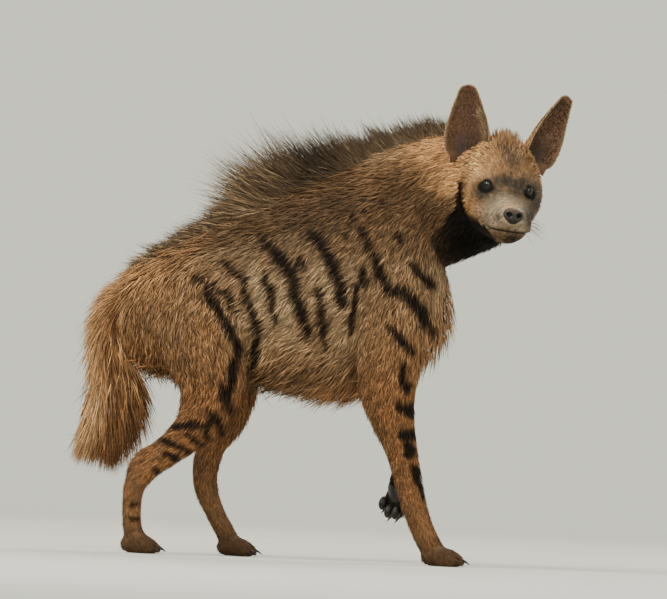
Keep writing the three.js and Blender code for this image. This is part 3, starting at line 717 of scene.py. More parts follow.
def leg_part(k, place):
    """How far down a leg a place is, from 0 at its top to 1 at the foot."""
    return place[:, k] / LASTS[k]


def torso_colour(points, height):
    """The trunk's broad hues, by how high on its sides a point is."""
    x = points[:, 0]
    torso = blend("buff", "grey buff", smooth(0.0, 0.7, height))
    torso = blend(torso, "brown", 0.85 * smooth(0.5, 0.95, height))
    torso = blend(torso, "rust", 0.55 * smooth(-0.5, -0.98, height))
    torso = blend(torso, "rust", 0.6 * smooth(-150, -270, x))
    torso = blend(torso, "umber", 0.7 * smooth(20, 150, x) * smooth(-0.5, 0.4, height))
    torso = blend(torso, "umber", 0.5 * near(x, 20, 110) * smooth(-0.2, 0.6, height))
    return blend(torso, "brown", 0.35 + 0.3 * ripple(points, 70, 5))


def neck_colour(points, rise):
    """The neck's broad hues, darker towards the shoulder and below."""
    x = points[:, 0]
    neck = blend("tawny", "brown", 0.1 + 0.5 * smooth(0.1, -0.7, rise))
    neck = blend(neck, "brown", 0.85 * smooth(250, 130, x) * smooth(0.95, 0.2, rise))
    return blend(neck, "umber", 0.2 + 0.35 * ripple(points, 60, 6) - 0.2 * smooth(200, 300, x) - 0.3 * rise)


def head_colour(local, across, down):
    """The head's mottled hues, with the face's patches, the dark round the eyes and the line of the mouth."""
    x = local[:, 0]
    head = blend("tawny", "brown", 0.3 + 0.25 * ripple(local, 17, 11) + 0.2 * ripple(local, 7, 12))
    head = blend(head, "ash", smooth(8, 38, x) * smooth(-92, -60, local[:, 2]))
    head = patched(head, FACE, smooth(-95, -60, x) * (1 + 0.3 * ripple(local, 8, 13)), across, down)
    head = blend(head, "umber", 0.3 * smooth(10, 40, x) * np.maximum(ripple(local, 9, 15), 0))
    head = blend(head, "umber", 0.4 * smooth(0, 30, x) * np.maximum(ripple(local, 5, 17), 0))
    for hand in (-1, 1):
        off = local - EYE_CENTRE * [1, hand, 1] - [7, hand * 9, -4]
        eye = np.sqrt((off**2).sum(1) + 1.2 * off[:, 2] ** 2)
        head = blend(head, "black", 0.9 * smooth(21, 12, eye))
    gap = local[:, 2] - mouth_height(x)
    return blend(head, "black", near(gap, -1, 1.7) * smooth(-2, 18, x))


def leg_colour(k, points, place, angle):
    """A leg's broad hues, darker down to the foot, with painted shade on the far legs, and the lifted foot's dark
    sole.
    """
    far = leg_part(k, place)
    leg = blend("rust", "grey buff", 0.6 * smooth(0.35, 0.1, far))
    leg = blend(leg, "brown", 0.4 * near(np.sin(angle[:, k]), -1, 0.8))
    leg = blend(leg, "brown", 0.3 + 0.25 * ripple(points, 30, 14) + 0.2 * smooth(0.5, 0.8, far))
    # The legs of the far, left side are painted darker as painted shade.
    leg = blend(leg, "umber", 0.25 * (points[:, 1] > 0))
    leg = blend(leg, "umber", 0.75 * smooth(0.84, 0.98, far))
    if k == PLACE_OF["fore_left"]:
        axes, base = FOOT_FRAMES[1][:2]
        leg = blend(leg, "dark", 0.9 * smooth(0.76, 0.88, far) * smooth(16, 6, ((points - base) @ axes)[:, 2]))
    return leg


def side_marks(points):
    """Points as seen from the side, a little uneven and moved on on the left, and how strongly the stripes mark
    them."""
    spots = points[:, [0, 2]].copy()
    spots[:, 0] += np.where(points[:, 1] > 0, 9, 0) + 3 * ripple(points, 34, 7)
    spots[:, 1] += 3 * ripple(points, 31, 8)
    marks = np.zeros(len(points))
    for half, line in STRIPES:
        gap, where = line_gap(spots, photo_spot(line))
        taper = 0.55 + 0.45 * np.sin(math.pi * np.clip(where, 0.02, 0.98)) ** 0.6
        marks = np.maximum(marks, smooth(half * taper * 1.1 + 1.5, half * taper * 0.66, gap))
    return spots, marks


def coat_colour(points, place, angle, off):
    """The coat's colour at the roots, in display values: broad hues by form, then the dark markings."""
    part = shares(off)
    height, rise = np.sin(angle[:, AT_TORSO]), np.sin(angle[:, AT_NECK])
    local = to_head(points)
    across, down = picture_place(points)
    tail = blend(HUES["tawny"] * 0.9, "brown", 0.3 + 0.4 * ripple(points, 60, 3))
    whole = [torso_colour(points, height), neck_colour(points, rise), head_colour(local, across, down)]
    whole += [leg_colour(k, points, place, angle) for k in LEGS] + [tail]
    colour = sum(part[:, k:k + 1] * hues for k, hues in enumerate(whole))
    uneven = (1 - part[:, AT_HEAD]) * (1 + 0.35 * ripple(points, 26, 16))
    colour = patched(colour, BODY, uneven, across, down)
    spots, marks = side_marks(points)
    sides = smooth(18, 40, np.abs(points[:, 1]))
    marks *= (1 - part[:, AT_HEAD] - part[:, AT_TAIL]) * np.where(points[:, 2] > 430, sides, 1)
    colour = blend(colour, "dark", 0.95 * marks)
    throat = inside(spots, photo_spot(THROAT)) & (points[:, 0] > 200)
    breast = near(points[:, 0], 290, 70) * smooth(-0.35, -0.8, rise) * part[:, AT_NECK]
    under = np.maximum(smooth(-54, -74, local[:, 2]), smooth(-36, -62, local[:, 0]))
    black = np.maximum(0.95 * throat * (part[:, AT_NECK] + part[:, AT_HEAD] * under), 0.9 * breast)
    colour = blend(colour, "black", black)
    crest = smooth(30, 10, np.abs(points[:, 1])) * smooth(0.8, 0.95, height * part[:, AT_TORSO])
    return np.clip(blend(colour, "umber", 0.7 * crest), 0.015, 1)


def linear(colour):
    """Display values as light."""
    return np.where(colour < 0.04045, colour / 12.92, ((colour + 0.055) / 1.055) ** 2.4)


def paint(made, colour, name="coat"):
    """Keeps a colour for each point of a mesh."""
    layer = made.data.color_attributes.new(name=name, type="FLOAT_COLOR", domain="POINT")
    values = np.column_stack([linear(colour), np.ones(len(colour))])
    layer.data.foreach_set("color", values.astype(np.float32).ravel())


class Number:
    """A value in a material. Python's signs on it add Math nodes."""

    def __init__(self, finish, socket):
        self.finish = finish
        self.socket = socket

    def with_other(self, operation, first, second):
        return self.finish.node("ShaderNodeMath", {"operation": operation}, {0: first, 1: second})

    def __add__(self, other):
        return self.with_other("ADD", self, other)

    def __radd__(self, other):
        return self.with_other("ADD", other, self)

    def __sub__(self, other):
        return self.with_other("SUBTRACT", self, other)

    def __rsub__(self, other):
        return self.with_other("SUBTRACT", other, self)

    def __mul__(self, other):
        return self.with_other("MULTIPLY", self, other)

    def __rmul__(self, other):
        return self.with_other("MULTIPLY", other, self)


class Finish:
    """A material and its nodes, all of them made by node()."""

    def __init__(self, name, roughness=0.7, **uniform):
        self.material = bpy.data.materials.new(name)
        self.material.use_nodes = True
        self.tree = self.material.node_tree
        self.shader = self.tree.nodes["Principled BSDF"]
        self.shader.inputs["Roughness"].default_value = roughness
        for socket, value in uniform.items():
            self.shader.inputs[socket.replace("_", " ")].default_value = value

    def node(self, kind, settings=None, values=None, output=0):
        made = self.tree.nodes.new(kind)
        for name, value in (settings or {}).items():
            if name == "stops":
                for element, (spot, colour) in zip(made.color_ramp.elements, value):
                    element.position = spot
                    element.color = (*colour, 1)
            else:
                setattr(made, name, value)
        for name, value in (values or {}).items():
            self.feed(made.inputs[name], value)
        return Number(self, made.outputs[output])

    def feed(self, socket, value):
        if isinstance(value, Number):
            self.tree.links.new(value.socket, socket)
        else:
            socket.default_value = value

    def shade(self, socket, value):
        self.feed(self.shader.inputs[socket], value)

    def places(self):
        return self.node("ShaderNodeTexCoord", output="Object")

    def noise(self, scale, detail=4.0, stretch=None):
        where = self.places()
        if stretch:
            where = self.node("ShaderNodeMapping", None, {"Vector": where, "Scale": stretch})
        return self.node("ShaderNodeTexNoise", None, {"Vector": where, "Scale": scale, "Detail": detail})

    def bump(self, height, strength, distance):
        values = {"Height": height, "Strength": strength, "Distance": distance}
        self.shade("Normal", self.node("ShaderNodeBump", None, values))

    def tinted(self, base, factor):
        """A colour made lighter or darker by a number, through its own grey."""
        grey = self.node("ShaderNodeCombineColor", None, {"Red": factor, "Green": factor, "Blue": factor})
        kind = {"data_type": "RGBA", "blend_type": "MULTIPLY"}
        mixed = self.node("ShaderNodeMix", kind, {"Factor": 1.0}, output=2)
        sockets = mixed.socket.node.inputs
        self.feed(sockets[6], base)
        self.feed(sockets[7], grey)
        return mixed

    def on(self, made):
        made.data.materials.clear()
        made.data.materials.append(self.material)


def coat_finish():
    """Hair: each lock's own colour, made uneven by fine and broad noise."""
    finish = Finish("hair", roughness=0.65, Specular_IOR_Level=0.1)
    base = finish.node("ShaderNodeAttribute", {"attribute_name": "coat"})
    finish.shade("Base Color", finish.tinted(base, 0.72 + finish.noise(260, 3.0) * 0.56))
    finish.shade("Roughness", 0.52 + finish.noise(90) * 0.25)
    return finish


def skin_finish():
    """Skin with lying short hair: the coat's colour, darker between hairs as painted shade under the fur, with a
    fine hairy bump.
    """
    finish = Finish("short fur", roughness=0.75, Specular_IOR_Level=0.08)
    base = finish.node("ShaderNodeAttribute", {"attribute_name": "coat"})
    hairs = finish.noise(900, 5.0, (1.0, 1.0, 0.35))
    finish.shade("Base Color", finish.tinted(base, 0.5 + hairs * 0.62))
    finish.bump(hairs, 0.55, 0.002)
    return finish


def worn_finish(name, dark, light, roughness, scale, strength, **uniform):
    """Horn, leather or pad: two colours by noise, with a grained bump."""
    finish = Finish(name, roughness=roughness, **uniform)
    grain = finish.noise(scale, 6.0)
    ramp = finish.node("ShaderNodeValToRGB", {"stops": [(0.3, dark), (0.75, light)]}, {"Fac": grain})
    finish.shade("Base Color", ramp)
    cells = finish.node("ShaderNodeTexVoronoi", None, {"Vector": finish.places(), "Scale": scale * 3})
    finish.bump(cells + grain * 0.5, strength, 0.0008)
    return finish


def attribute_finish(name, attribute, roughness, **uniform):
    """A finish whose colour is kept on the points, slightly mottled."""
    finish = Finish(name, roughness=roughness, **uniform)
    base = finish.node("ShaderNodeAttribute", {"attribute_name": attribute})
    finish.shade("Base Color", finish.tinted(base, 0.85 + finish.noise(420, 5.0) * 0.3))
    return finish


HAIR = coat_finish()
SKIN = skin_finish()
EYE_FINISH = attribute_finish("wet eye", "eye", 0.15, Coat_Weight=0.4, Coat_Roughness=0.02, Specular_IOR_Level=0.1)
EAR_FINISH = attribute_finish("ear skin", "coat", 0.7, Specular_IOR_Level=0.25)
LID_FINISH = attribute_finish("lid", "coat", 0.5, Specular_IOR_Level=0.12)
NOSE_FINISH = attribute_finish("nose leather", "coat", 0.34, Specular_IOR_Level=0.22)
CLAW_FINISH = worn_finish(
    "claw horn", (0.012, 0.01, 0.008), (0.05, 0.04, 0.03), 0.5, 300, 0.15, Specular_IOR_Level=0.15)
PAD_FINISH = worn_finish(
    "pad leather", (0.005, 0.004, 0.0035), (0.02, 0.016, 0.013), 0.3, 300, 0.4, Specular_IOR_Level=0.24)


def tufts(name, root, normal, lie, length, width, lift, root_colour, tip_colour, uv, bends=2, droop=0.0,
          between=None, fade=1.0):
    """Tapered three-sided locks. A lock's middle line is
    root + length * (lie * s + normal * lift * (s - s^2 / 2) + side * sway * s^2 + down * droop * s^2),
    and its section is a flat triangle that is widest low down and closes to a point at the tip."""
    count = len(root)
    levels = {1: [0.0], 2: [0.0, 0.42], 3: [0.0, 0.3, 0.65]}[bends]
    rings = len(levels)
    side = unit(np.cross(lie, normal))
    twist = rng.uniform(-0.7, 0.7, count)[:, None]
    side = unit(side * np.cos(twist) + normal * np.sin(twist))
    over = unit(np.cross(side, lie))
    over = np.where(((over * normal).sum(1) < 0)[:, None], -over, over)
    sway = rng.normal(0, 0.07, count)[:, None]

    def middle(s):
        bend = lift[:, None] * (s - (s * s / 2 if bends > 1 else 0.3))
        fall = side * sway * s * s + np.array([0, 0, -1.0]) * droop * s * s
        return root + length[:, None] * (lie * s + normal * bend + fall)

    points = np.empty((count, rings * 3 + 1, 3))
    shade = np.empty((count, rings * 3 + 1, 3))
    for k, s in enumerate(levels):
        broad = (0.8 if k == 0 else 1.0 - 0.35 * max(0, k - 1)) * width[:, None] / 2
        base = middle(s) - normal * (1.2 if k == 0 and bends > 1 else 0)
        points[:, 3 * k] = base - side * broad
        points[:, 3 * k + 1] = base + over * broad * 0.75
        points[:, 3 * k + 2] = base + side * broad
        held = between if between is not None and k == 1 else root_colour + (tip_colour - root_colour) * s**fade
        shade[:, 3 * k:3 * k + 3] = held[:, None]
    points[:, -1] = middle(1.0)
    points[..., 2] = np.maximum(points[..., 2], GROUND)
    shade[:, -1] = tip_colour
    pattern = [[0, 1, 2]]
    for k in range(rings - 1):
        for j in range(3):
            a, b = 3 * k + j, 3 * k + (j + 1) % 3
            pattern += [[a, b + 3, b], [a, a + 3, b + 3]]
    last = 3 * (rings - 1)
    pattern += [[last + j, rings * 3, last + (j + 1) % 3] for j in range(3)]
    pattern = np.array(pattern)
    faces = (pattern[None] + (np.arange(count) * (rings * 3 + 1))[:, None, None]).reshape(-1, 3)
    made = new_mesh(name, points.reshape(-1, 3), [faces])
    paint(made, np.clip(shade.reshape(-1, 3), 0.01, 1))
    patch = np.array([[k / (rings + 1), j / 3] for k in range(rings) for j in range(3)] + [[1, 0.5]]) * PATCH
    layer = made.data.uv_layers.new(name="OFBake")
    corner = uv[:, None, None] + patch[pattern][None]
    layer.data.foreach_set("uv", corner.reshape(-1).astype(np.float32))
    dressed(made, HAIR)


def skin_data(skin):
    """The skin's points, point normals, triangles and their areas."""
    mesh = skin.data
    points = mesh_points(mesh)
    mesh.calc_loop_triangles()
    triangles = np.empty(len(mesh.loop_triangles) * 3, np.int32)
    mesh.loop_triangles.foreach_get("vertices", triangles)
    triangles = triangles.reshape(-1, 3)
    a, b, c = (points[triangles[:, k]] for k in range(3))
    area = np.linalg.norm(np.cross(b - a, c - a), axis=1) / 2
    return points, vectors_of(mesh.vertices, "normal"), triangles, area


def scattered(points, normals, triangles, area, density):
    """Places strewn over triangles, as many to each as its area times its density."""
    share = area * density[triangles].mean(1)
    reach = np.cumsum(share)
    count = int(reach[-1])
    chosen = np.searchsorted(reach, (np.arange(count) + rng.random(count)) * reach[-1] / count)
    chosen = triangles[np.minimum(chosen, len(triangles) - 1)]
    a, b = rng.random((2, count, 1))
    flip = a + b > 1
    a, b = np.where(flip, 1 - a, a), np.where(flip, 1 - b, b)
    one, two, three = chosen.T
    place, normal = (v[one] * (1 - a - b) + v[two] * a + v[three] * b for v in (points, normals))
    return place, unit(normal)


# How long the hair grows down each leg: the shares of the way down, and millimetres there
LEG_HAIR = [
    ([0, 0.2, 0.36, 0.6, 0.85, 1], [34, 30, 22, 14, 10, 7]),
    ([0, 0.25, 0.45, 0.7, 0.9, 1], [34, 30, 22, 14, 10, 7]),
    ([0, 0.2, 0.36, 0.5, 0.7, 1], [38, 34, 28, 18, 12, 7]),
    ([0, 0.2, 0.36, 0.5, 0.7, 1], [38, 34, 28, 18, 12, 7])]


def tuft_sizes(points, place, angle, off):
    """Length, width and lift of the locks that grow at each point, in millimetres and shares."""
    part = shares(off)
    height = np.sin(angle[:, AT_TORSO])
    torso = np.interp(place[:, AT_TORSO], [0, 2, 5, 7, 10], [36, 32, 30, 30, 30])
    lengths = [
        torso + 26 * smooth(-0.55, -0.95, height) + 16 * smooth(0.5, 0.95, height),
        np.interp(place[:, AT_NECK], [0, 2, 4, 5], [32, 28, 24, 22]),
        np.interp(to_head(points)[:, 0], [-120, -60, -20, 10, 40, 80, 104], [28, 21, 11, 8, 6.5, 5, 4])]
    lengths += [np.interp(leg_part(k, place), *hair) for k, hair in zip(LEGS, LEG_HAIR)]
    lengths.append(np.interp(place[:, AT_TAIL], [0, 1, 3, 5, 6], [44, 64, 92, 78, 60]))
    length = sum(part[:, k] * lengths[k] for k in range(len(TUBES)))
    width = np.interp(length, [4, 8, 14, 30, 60, 90], [0.75, 1.0, 1.3, 1.75, 2.3, 2.8])
    lift = np.interp(length, [4, 10, 20, 40, 90], [0.3, 0.34, 0.42, 0.5, 0.42])
    lift = lift + part[:, AT_TORSO] * (0.4 * smooth(-0.5, -0.9, height) + 0.25 * smooth(0.4, 0.9, height))
    return length, width, lift


def lie_at(points, normals, place, angle, off):
    """The way the coat lies, along the skin: back from the nose, back and down the body, down the legs and the
    tail."""
    part = shares(off)
    rump = smooth(-180, -330, points[:, 0])
    chest = smooth(150, 230, points[:, 0])
    flank = smooth(0.92, 0.3, np.sin(angle[:, AT_TORSO]))
    torso = np.stack([-1 + 0.75 * rump + 0.8 * chest, 0 * rump, -0.15 - 0.75 * flank - 0.7 * rump - 0.6 * chest], 1)
    neck = -NECK.section(place[:, AT_NECK])[1] + np.array([0, 0, -0.5])
    local = to_head(points)
    head = unit(local - np.array([112.0, 0, -34]))
    head[:, 2] -= 0.5 * smooth(20, -60, local[:, 0])
    ways = [torso, neck, head @ HEAD_TURN.T]
    for k in (*LEGS, AT_TAIL):
        ways.append(TUBES[k].section(place[:, k])[1] + np.array([-0.15, 0, 0]))
    way = sum(part[:, k:k + 1] * unit(ways[k]) for k in range(len(TUBES)))
    swirl = np.stack([ripple(points, 30, seed) for seed in (21, 22, 23)], 1)
    loose = np.where(part[:, AT_HEAD] > 0.5, 0.06, 0.22)[:, None]
    way = way + loose * swirl + 0.17 * rng.normal(size=way.shape)
    return unit(way - normals * (way * normals).sum(1, keepdims=True))


def bare(points):
    """Where no tuft grows: the eyes' openings, the nose, the line of the lips and the soles."""
    local = to_head(points)
    skip = np.linalg.norm((local - NOSE_CENTRE) / (NOSE_RADII + 3), axis=1) < 1
    for hand in (-1, 1):
        centre, gaze, side, _ = eye_axes(hand)
        off = local - centre - gaze * EYE_RADIUS
        skip |= (off @ side / 11) ** 2 + (off[:, 2] / 8.5) ** 2 + (off @ gaze / 14) ** 2 < 1
    gap = np.abs(local[:, 2] - mouth_height(local[:, 0]))
    skip |= (gap < 2.0) & within(local, (MOUTH_CORNER_X, -60, -np.inf), (125, 60, np.inf))
    return skip | (points[:, 2] < 5)


def map_skin(mesh, place, angle, off):
    """Maps each face by its first corner's tube, so that no face is torn at a tile's edge."""
    corners = np.empty(len(mesh.loops), np.int32)
    mesh.loops.foreach_get("vertex_index", corners)
    sizes = np.empty(len(mesh.polygons), np.int32)
    mesh.polygons.foreach_get("loop_total", sizes)
    lead = np.repeat(corners[np.concatenate([[0], np.cumsum(sizes)[:-1]])], sizes)
    owner = off[lead].argmin(1)
    turned = (angle[corners, owner] - angle[lead, owner] + math.pi) % CIRCLE - math.pi
    moved = (place[corners, owner] - place[lead, owner]) / LASTS[owner]
    spots = coat_map(owner, place[lead, owner], angle[lead, owner])
    spots += TILES[owner, 2:] * (1 - 2 * MARGIN) * np.stack([turned / CIRCLE, moved], 1)
    layer = mesh.uv_layers.new(name="OFBake")
    layer.data.foreach_set("uv", spots.astype(np.float32).ravel())


# The pieces of the body's coat, and the most locks in one piece of long hair and of short
COAT_PIECES = [
    "tail_root", "head", "neck", "fore_right", "fore_left", "hind_right", "hind_left", "back_right", "back_left",
    "flank_right", "flank_left"]
MOST_LONG, MOST_SHORT = 19500, 48000


def make_coat(skin):
    """Paints the skin, maps it, and grows its locks piece by piece."""
    points, normals, triangles, area = skin_data(skin)
    place, angle, off = survey(points)
    paint(skin, coat_colour(points, place, angle, off))
    map_skin(skin.data, place, angle, off)
    length, width, _ = tuft_sizes(points, place, angle, off)
    cover = np.interp(length, [4, 10, 20, 40, 90], [1.2, 1.6, 2.3, 3.1, 3.1])
    density = cover / (length * width * 0.62) * SHARE
    density[bare(points)] = 0
    root, normal = scattered(points, normals, triangles, area, density)
    keep = ~bare(root)
    root, normal = root[keep], normal[keep]
    place, angle, off = survey(root)
    length, width, lift = tuft_sizes(root, place, angle, off)
    count = len(root)
    length = length * rng.uniform(0.72, 1.2, count)
    lie = lie_at(root, normal, place, angle, off)
    base = coat_colour(root, place, angle, off)
    # The colours that the body has under the middle and the tip of each lock
    aheads = (root + lie * (far * length)[:, None] for far in (0.42, 0.85))
    half, end = (coat_colour(ahead, *survey(ahead)) for ahead in aheads)
    owner = off.argmin(1)
    tone = 1 + np.where(owner == AT_HEAD, 0.2, 0.13)[:, None] * rng.normal(size=(count, 1))
    tone = tone + 0.12 * ripple(root, 13, 24)[:, None]
    light = (end.mean(1) > 0.3)[:, None]
    tip = end * tone * np.where(light, rng.choice([0.55, 1.0, 1.25], (count, 1), p=[0.27, 0.45, 0.28]), 1.0)
    low = base * tone * 0.8
    every = np.arange(count)
    uv = coat_map(owner, place[every, owner], angle[every, owner])
    top = np.sin(angle[:, AT_TORSO]) > 0.5
    right = root[:, 1] < 0
    group = np.select(
        [owner == k for k in (AT_TAIL, AT_HEAD, AT_NECK, *LEGS)] + [top & right, top & ~right, right],
        np.arange(10), 10)
    short = length < 15
    for k, name in enumerate(COAT_PIECES):
        for kind, wanted, most, bends in (("", ~short, MOST_LONG, 2), ("_short", short, MOST_SHORT, 1)):
            some = np.flatnonzero((group == k) & wanted)
            for piece, start in enumerate(range(0, len(some), most)):
                chosen = some[start:start + most]
                tufts(
                    f"coat_{name}{kind}" + ("" if piece == 0 else f"_{piece + 1}"),
                    root[chosen], normal[chosen], lie[chosen], length[chosen],
                    (width * rng.uniform(0.8, 1.2, count))[chosen], (lift * rng.uniform(0.6, 1.3, count))[chosen],
                    low[chosen], tip[chosen], uv[chosen], bends=bends, droop=0.06, between=(half * tone)[chosen])


# x, length, lean from upright in degrees and half spread of the mane
MANE = np.array([
    [-300, 34, 82, 20], [-150, 46, 78, 24], [-122, 72, 68, 26], [-100, 116, 60, 26], [-50, 130, 51, 26],
    [0, 116, 45, 24], [50, 88, 40, 18], [100, 56, 36, 13], [160, 38, 34, 11], [230, 28, 34, 10],
    [300, 22, 30, 10]], float)


def make_mane():
    """The crest from the nape to the croup. Hairs stand in clumps: each runs from its own root, strewn about its
    clump's root, to a point near the clump's tip."""
    for tube, low, high, count in ((TORSO, -300, 150, int(9500 * SHARE)), (NECK, 120, 300, int(2800 * SHARE))):
        places = np.linspace(0, tube.last, 600)
        at_x = tube.section(places)[0][:, 0]
        clumps = count // 11
        of = rng.integers(0, clumps, count)
        x = (low + (high - low) * rng.random(clumps))[of]
        length, lean, spread = (np.interp(x, MANE[:, 0], MANE[:, k]) for k in (1, 2, 3))
        across = rng.normal(0, 0.85, clumps)[of] * spread
        lean = np.radians(lean + rng.normal(0, 8, clumps)[of] + 12 * np.minimum(np.abs(across) / spread, 2) ** 2)
        tall = 14 + length * rng.uniform(0.8, 1.3, clumps)[of]
        tall *= 1 - 0.35 * np.minimum(np.abs(across) / spread, 1.4)
        splay = across / 200 + rng.normal(0, 0.09, clumps)[of]

        def ridge(x_at, off):
            at = np.interp(x_at, at_x, places)
            section = tube.section(at)
            turned = math.pi / 2 - off / np.maximum(section[4][:, 0], 30)
            return tube.points(at, turned), section, at, turned

        middle, section, _, _ = ridge(x, across)
        up = unit(np.array([0, 0, 1.0]) + section[2] * (across / 90)[:, None])
        way = unit(up * np.cos(lean)[:, None] - section[1] * np.sin(lean)[:, None] + section[2] * splay[:, None])
        aim = middle + way * tall[:, None]
        stray_x, stray_y = rng.normal(0, 9, count), rng.normal(0, 6, count)
        root, _, place, angle = ridge(np.clip(x + stray_x, low, high), across + stray_y)
        reach = rng.uniform(0.5, 1.0, count) + 0.2 * (rng.random(count) < 0.08)
        run = (aim + 0.45 * (root - middle) + rng.normal(0, 3.5, (count, 3)) - root) * reach[:, None]
        size = np.linalg.norm(run, axis=1)
        base = blend("brown", "umber", 0.6 * rng.random(count))
        base = blend(base, "buff", 0.2 + 0.6 * rng.random(count))
        base = blend(base, "dark", near(x, 22, 38) * 0.65)
        base = blend(base, "grey buff", 0.75 * smooth(70, 150, x) * rng.uniform(0.4, 1, count))
        base = blend(base, "grey buff", 0.6 * smooth(0.6, 1.6, np.abs(across) / spread) * rng.random(count))
        base = blend(base, "buff", 0.45 * smooth(-20, -80, x) * rng.random(count))
        tip = blend(base, "dark", rng.uniform(0.75, 1, count))
        pale = rng.random(count) < np.interp(x, [-140, -20, 40], [0.3, 0.15, 0.04])
        tip = np.where(pale[:, None], HUES["buff"] * 0.9, tip)
        tufts(
            f"coat_mane_{tube.name}", root, up, unit(run), size + 6, rng.uniform(1.2, 2.4, count),
            rng.uniform(-0.05, 0.2, count), base, tip, map_on(tube, place, angle), bends=3, droop=0.05, fade=1.2)


def make_crown():
    """A low tuft of hair between the ears that stands up and leans back."""
    count = int(420 * SHARE)
    place = rng.uniform(1.0, 2.6, count)
    angle = math.pi / 2 + rng.normal(0, 0.22, count)
    root = HEAD.points(place, angle)
    normal = unit(root - HEAD.section(place)[0])
    way = unit(np.array([-0.35, 0, 1.0]) + rng.normal(0, 0.16, (count, 3)))
    base = blend("brown", "tawny", rng.random(count))
    tufts(
        "coat_crown", from_head(root), normal @ HEAD_TURN.T, way @ HEAD_TURN.T, rng.uniform(10, 22, count),
        rng.uniform(1.0, 1.7, count), rng.uniform(0, 0.2, count), base,
        blend(base, "umber", rng.uniform(0.3, 1, count)), map_on(HEAD, place, angle))


def make_tail_brush():
    """The tail's long hair: locks from all round its core, sweeping down and a little out, with painted light
    outside.
    """
    count = int(9800 * SHARE)
    place = rng.uniform(0.6, 6, count)
    angle = rng.uniform(0, CIRCLE, count)
    root = TAIL.points(place, angle)
    middle, along = TAIL.section(place)[:2]
    normal = unit(root - middle)
    # The outer side, away from the body, is painted lighter as painted light: the tawny, sand and cream laid on it
    # below.
    outer = smooth(-0.2, 0.8, -normal[:, 0])
    out = rng.uniform(0.1, 0.36, count) * (1 - 0.2 * outer)
    way = unit(along + normal * out[:, None] + rng.normal(0, 0.07, (count, 3)))
    length = np.interp(place, [0.6, 2, 4, 5, 6], [48, 70, 92, 84, 66]) * rng.uniform(0.6, 1.1, count)
    base = blend("brown", "rust", rng.random(count))
    base = blend(base, "tawny", 0.8 * outer * rng.uniform(0.3, 1, count))
    base = blend(base, "highlight sand", outer * smooth(9, 1.5, place) * rng.uniform(0.4, 1, count))
    base = blend(base, "cream", 0.4 * outer * rng.random(count))
    tip = base * rng.choice([0.6, 1.0, 1.2], (count, 1), p=[0.3, 0.4, 0.3])
    tufts(
        "coat_tail", root, normal, way, length, rng.uniform(1.4, 2.6, count), rng.uniform(0, 0.3, count),
        base * 0.92, tip, map_on(TAIL, place, angle), bends=3, droop=0.1)


# Name, hand, foot, tip, and degrees that each ear faces outwards
EARS = [
    ("right", -1, (-98, -62, 40), (-106, -85, 163), 24),
    ("left", 1, (-98, 54, 49), (-106, 112, 166), 40)]
# The ears' corner in the coat's map, and its reach across and up
EAR_CORNER, EAR_REACH = np.array([0.84, 0.64]), np.array([0.13, 0.3])
# The shares of upwards and outwards in the way an ear's hair lies, and how much it strays
EAR_SWEEPS = {"edge": (0.9, -0.75, 0.25), "rim": (0.8, 0.4, 0.2)}


def ear_frame(hand, foot, tip, outward):
    """An ear's foot, the way it rises, the way it faces and the way across it."""
    foot, tip = np.array(foot, float), np.array(tip, float)
    rise = tip - foot
    turned = math.radians(outward)
    facing = np.array([math.cos(turned), hand * math.sin(turned), 0])
    facing = unit(facing - rise * facing.dot(rise) / rise.dot(rise))
    return foot, rise, facing, unit(np.cross(rise, facing))


def ear_points(axes, u, v, wall):
    """Foot + rise * v, with a circle's arc across it that opens towards the tip, drawn in by the wall."""
    foot, rise, facing, across = axes
    half = np.interp(v * 10, np.arange(11), EAR_WIDTHS) * np.sqrt(1 - 0.97 * np.clip(v * 10 - 9, 0, 1) ** 2)
    wrap = np.radians(78 - 36 * v)
    radius = half / np.sin(wrap)
    bow = (radius - wall) * np.sin(u * wrap)
    deep = radius * 0.55 - (radius - wall) * np.cos(u * wrap) - 10 * v * v
    return foot + rise * v[:, None] + across * bow[:, None] + facing * deep[:, None]


def ear_wall(u, v):
    """How thick an ear is, thinner to its rim and tip."""
    return 5.4 - 3.2 * np.abs(u) - 1.2 * v


def make_ear_shell(name, hand, axes):
    """A cupped shell with a rolled rim and folds inside."""
    rows, columns = 64, 41
    v, u = crossed(1 - 1.1 * np.linspace(1, 0, rows) ** 1.3, np.linspace(-1, 1, columns))
    ridge = 1.6 * near(u, -0.45 * hand, 0.12) * smooth(0.75, 0.2, v)
    ridge += near(u, 0.35 * hand, 0.16) * smooth(0.6, 0.1, v)
    outer = ear_points(axes, u, v, np.full(len(u), 0.6))
    inner = ear_points(axes, u, v, ear_wall(u, np.clip(v, 0, 1)) + ridge)
    sheet = sheet_faces(rows, columns)
    start = rows * columns
    grid = np.arange(start).reshape(rows, columns)
    rim = []
    for line in (grid[:, 0], grid[::-1, -1], grid[0, ::-1], grid[-1]):
        rim.append(np.stack([line[:-1], line[1:], start + line[1:], start + line[:-1]], 1))
    faces = np.concatenate([sheet[:, ::-1], sheet + start, *rim])
    made = new_mesh(f"ear_{name}_shell", from_head(np.concatenate([outer, inner])), [faces])
    turned_out(made)
    edge = smooth(0.05, 0.25, v)
    back = blend("brown", "tawny", 0.5 * smooth(0.5, 0.0, v))
    back = blend(back, "buff", 0.8 * smooth(0.8, 1.0, np.abs(u)) * edge)
    # The left ear's hollow is painted lighter than the right's as painted light; the two are alike.
    depth = np.array([76, 48, 34] if hand < 0 else [94, 66, 50]) / 255
    hollow = blend(depth, "brown", 0.5 * smooth(0.3, 0.8, np.abs(u)))
    hollow = blend(hollow, "dark", 0.75 * smooth(0.45, 0.1, v) * smooth(0.9, 0.3, np.abs(u)))
    hollow = blend(hollow, "buff", 0.7 * smooth(0.92, 1.0, np.abs(u)) * edge)
    paint(made, np.concatenate([back, hollow]))
    dressed(made, EAR_FINISH)
    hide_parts(f"ear_{name}")


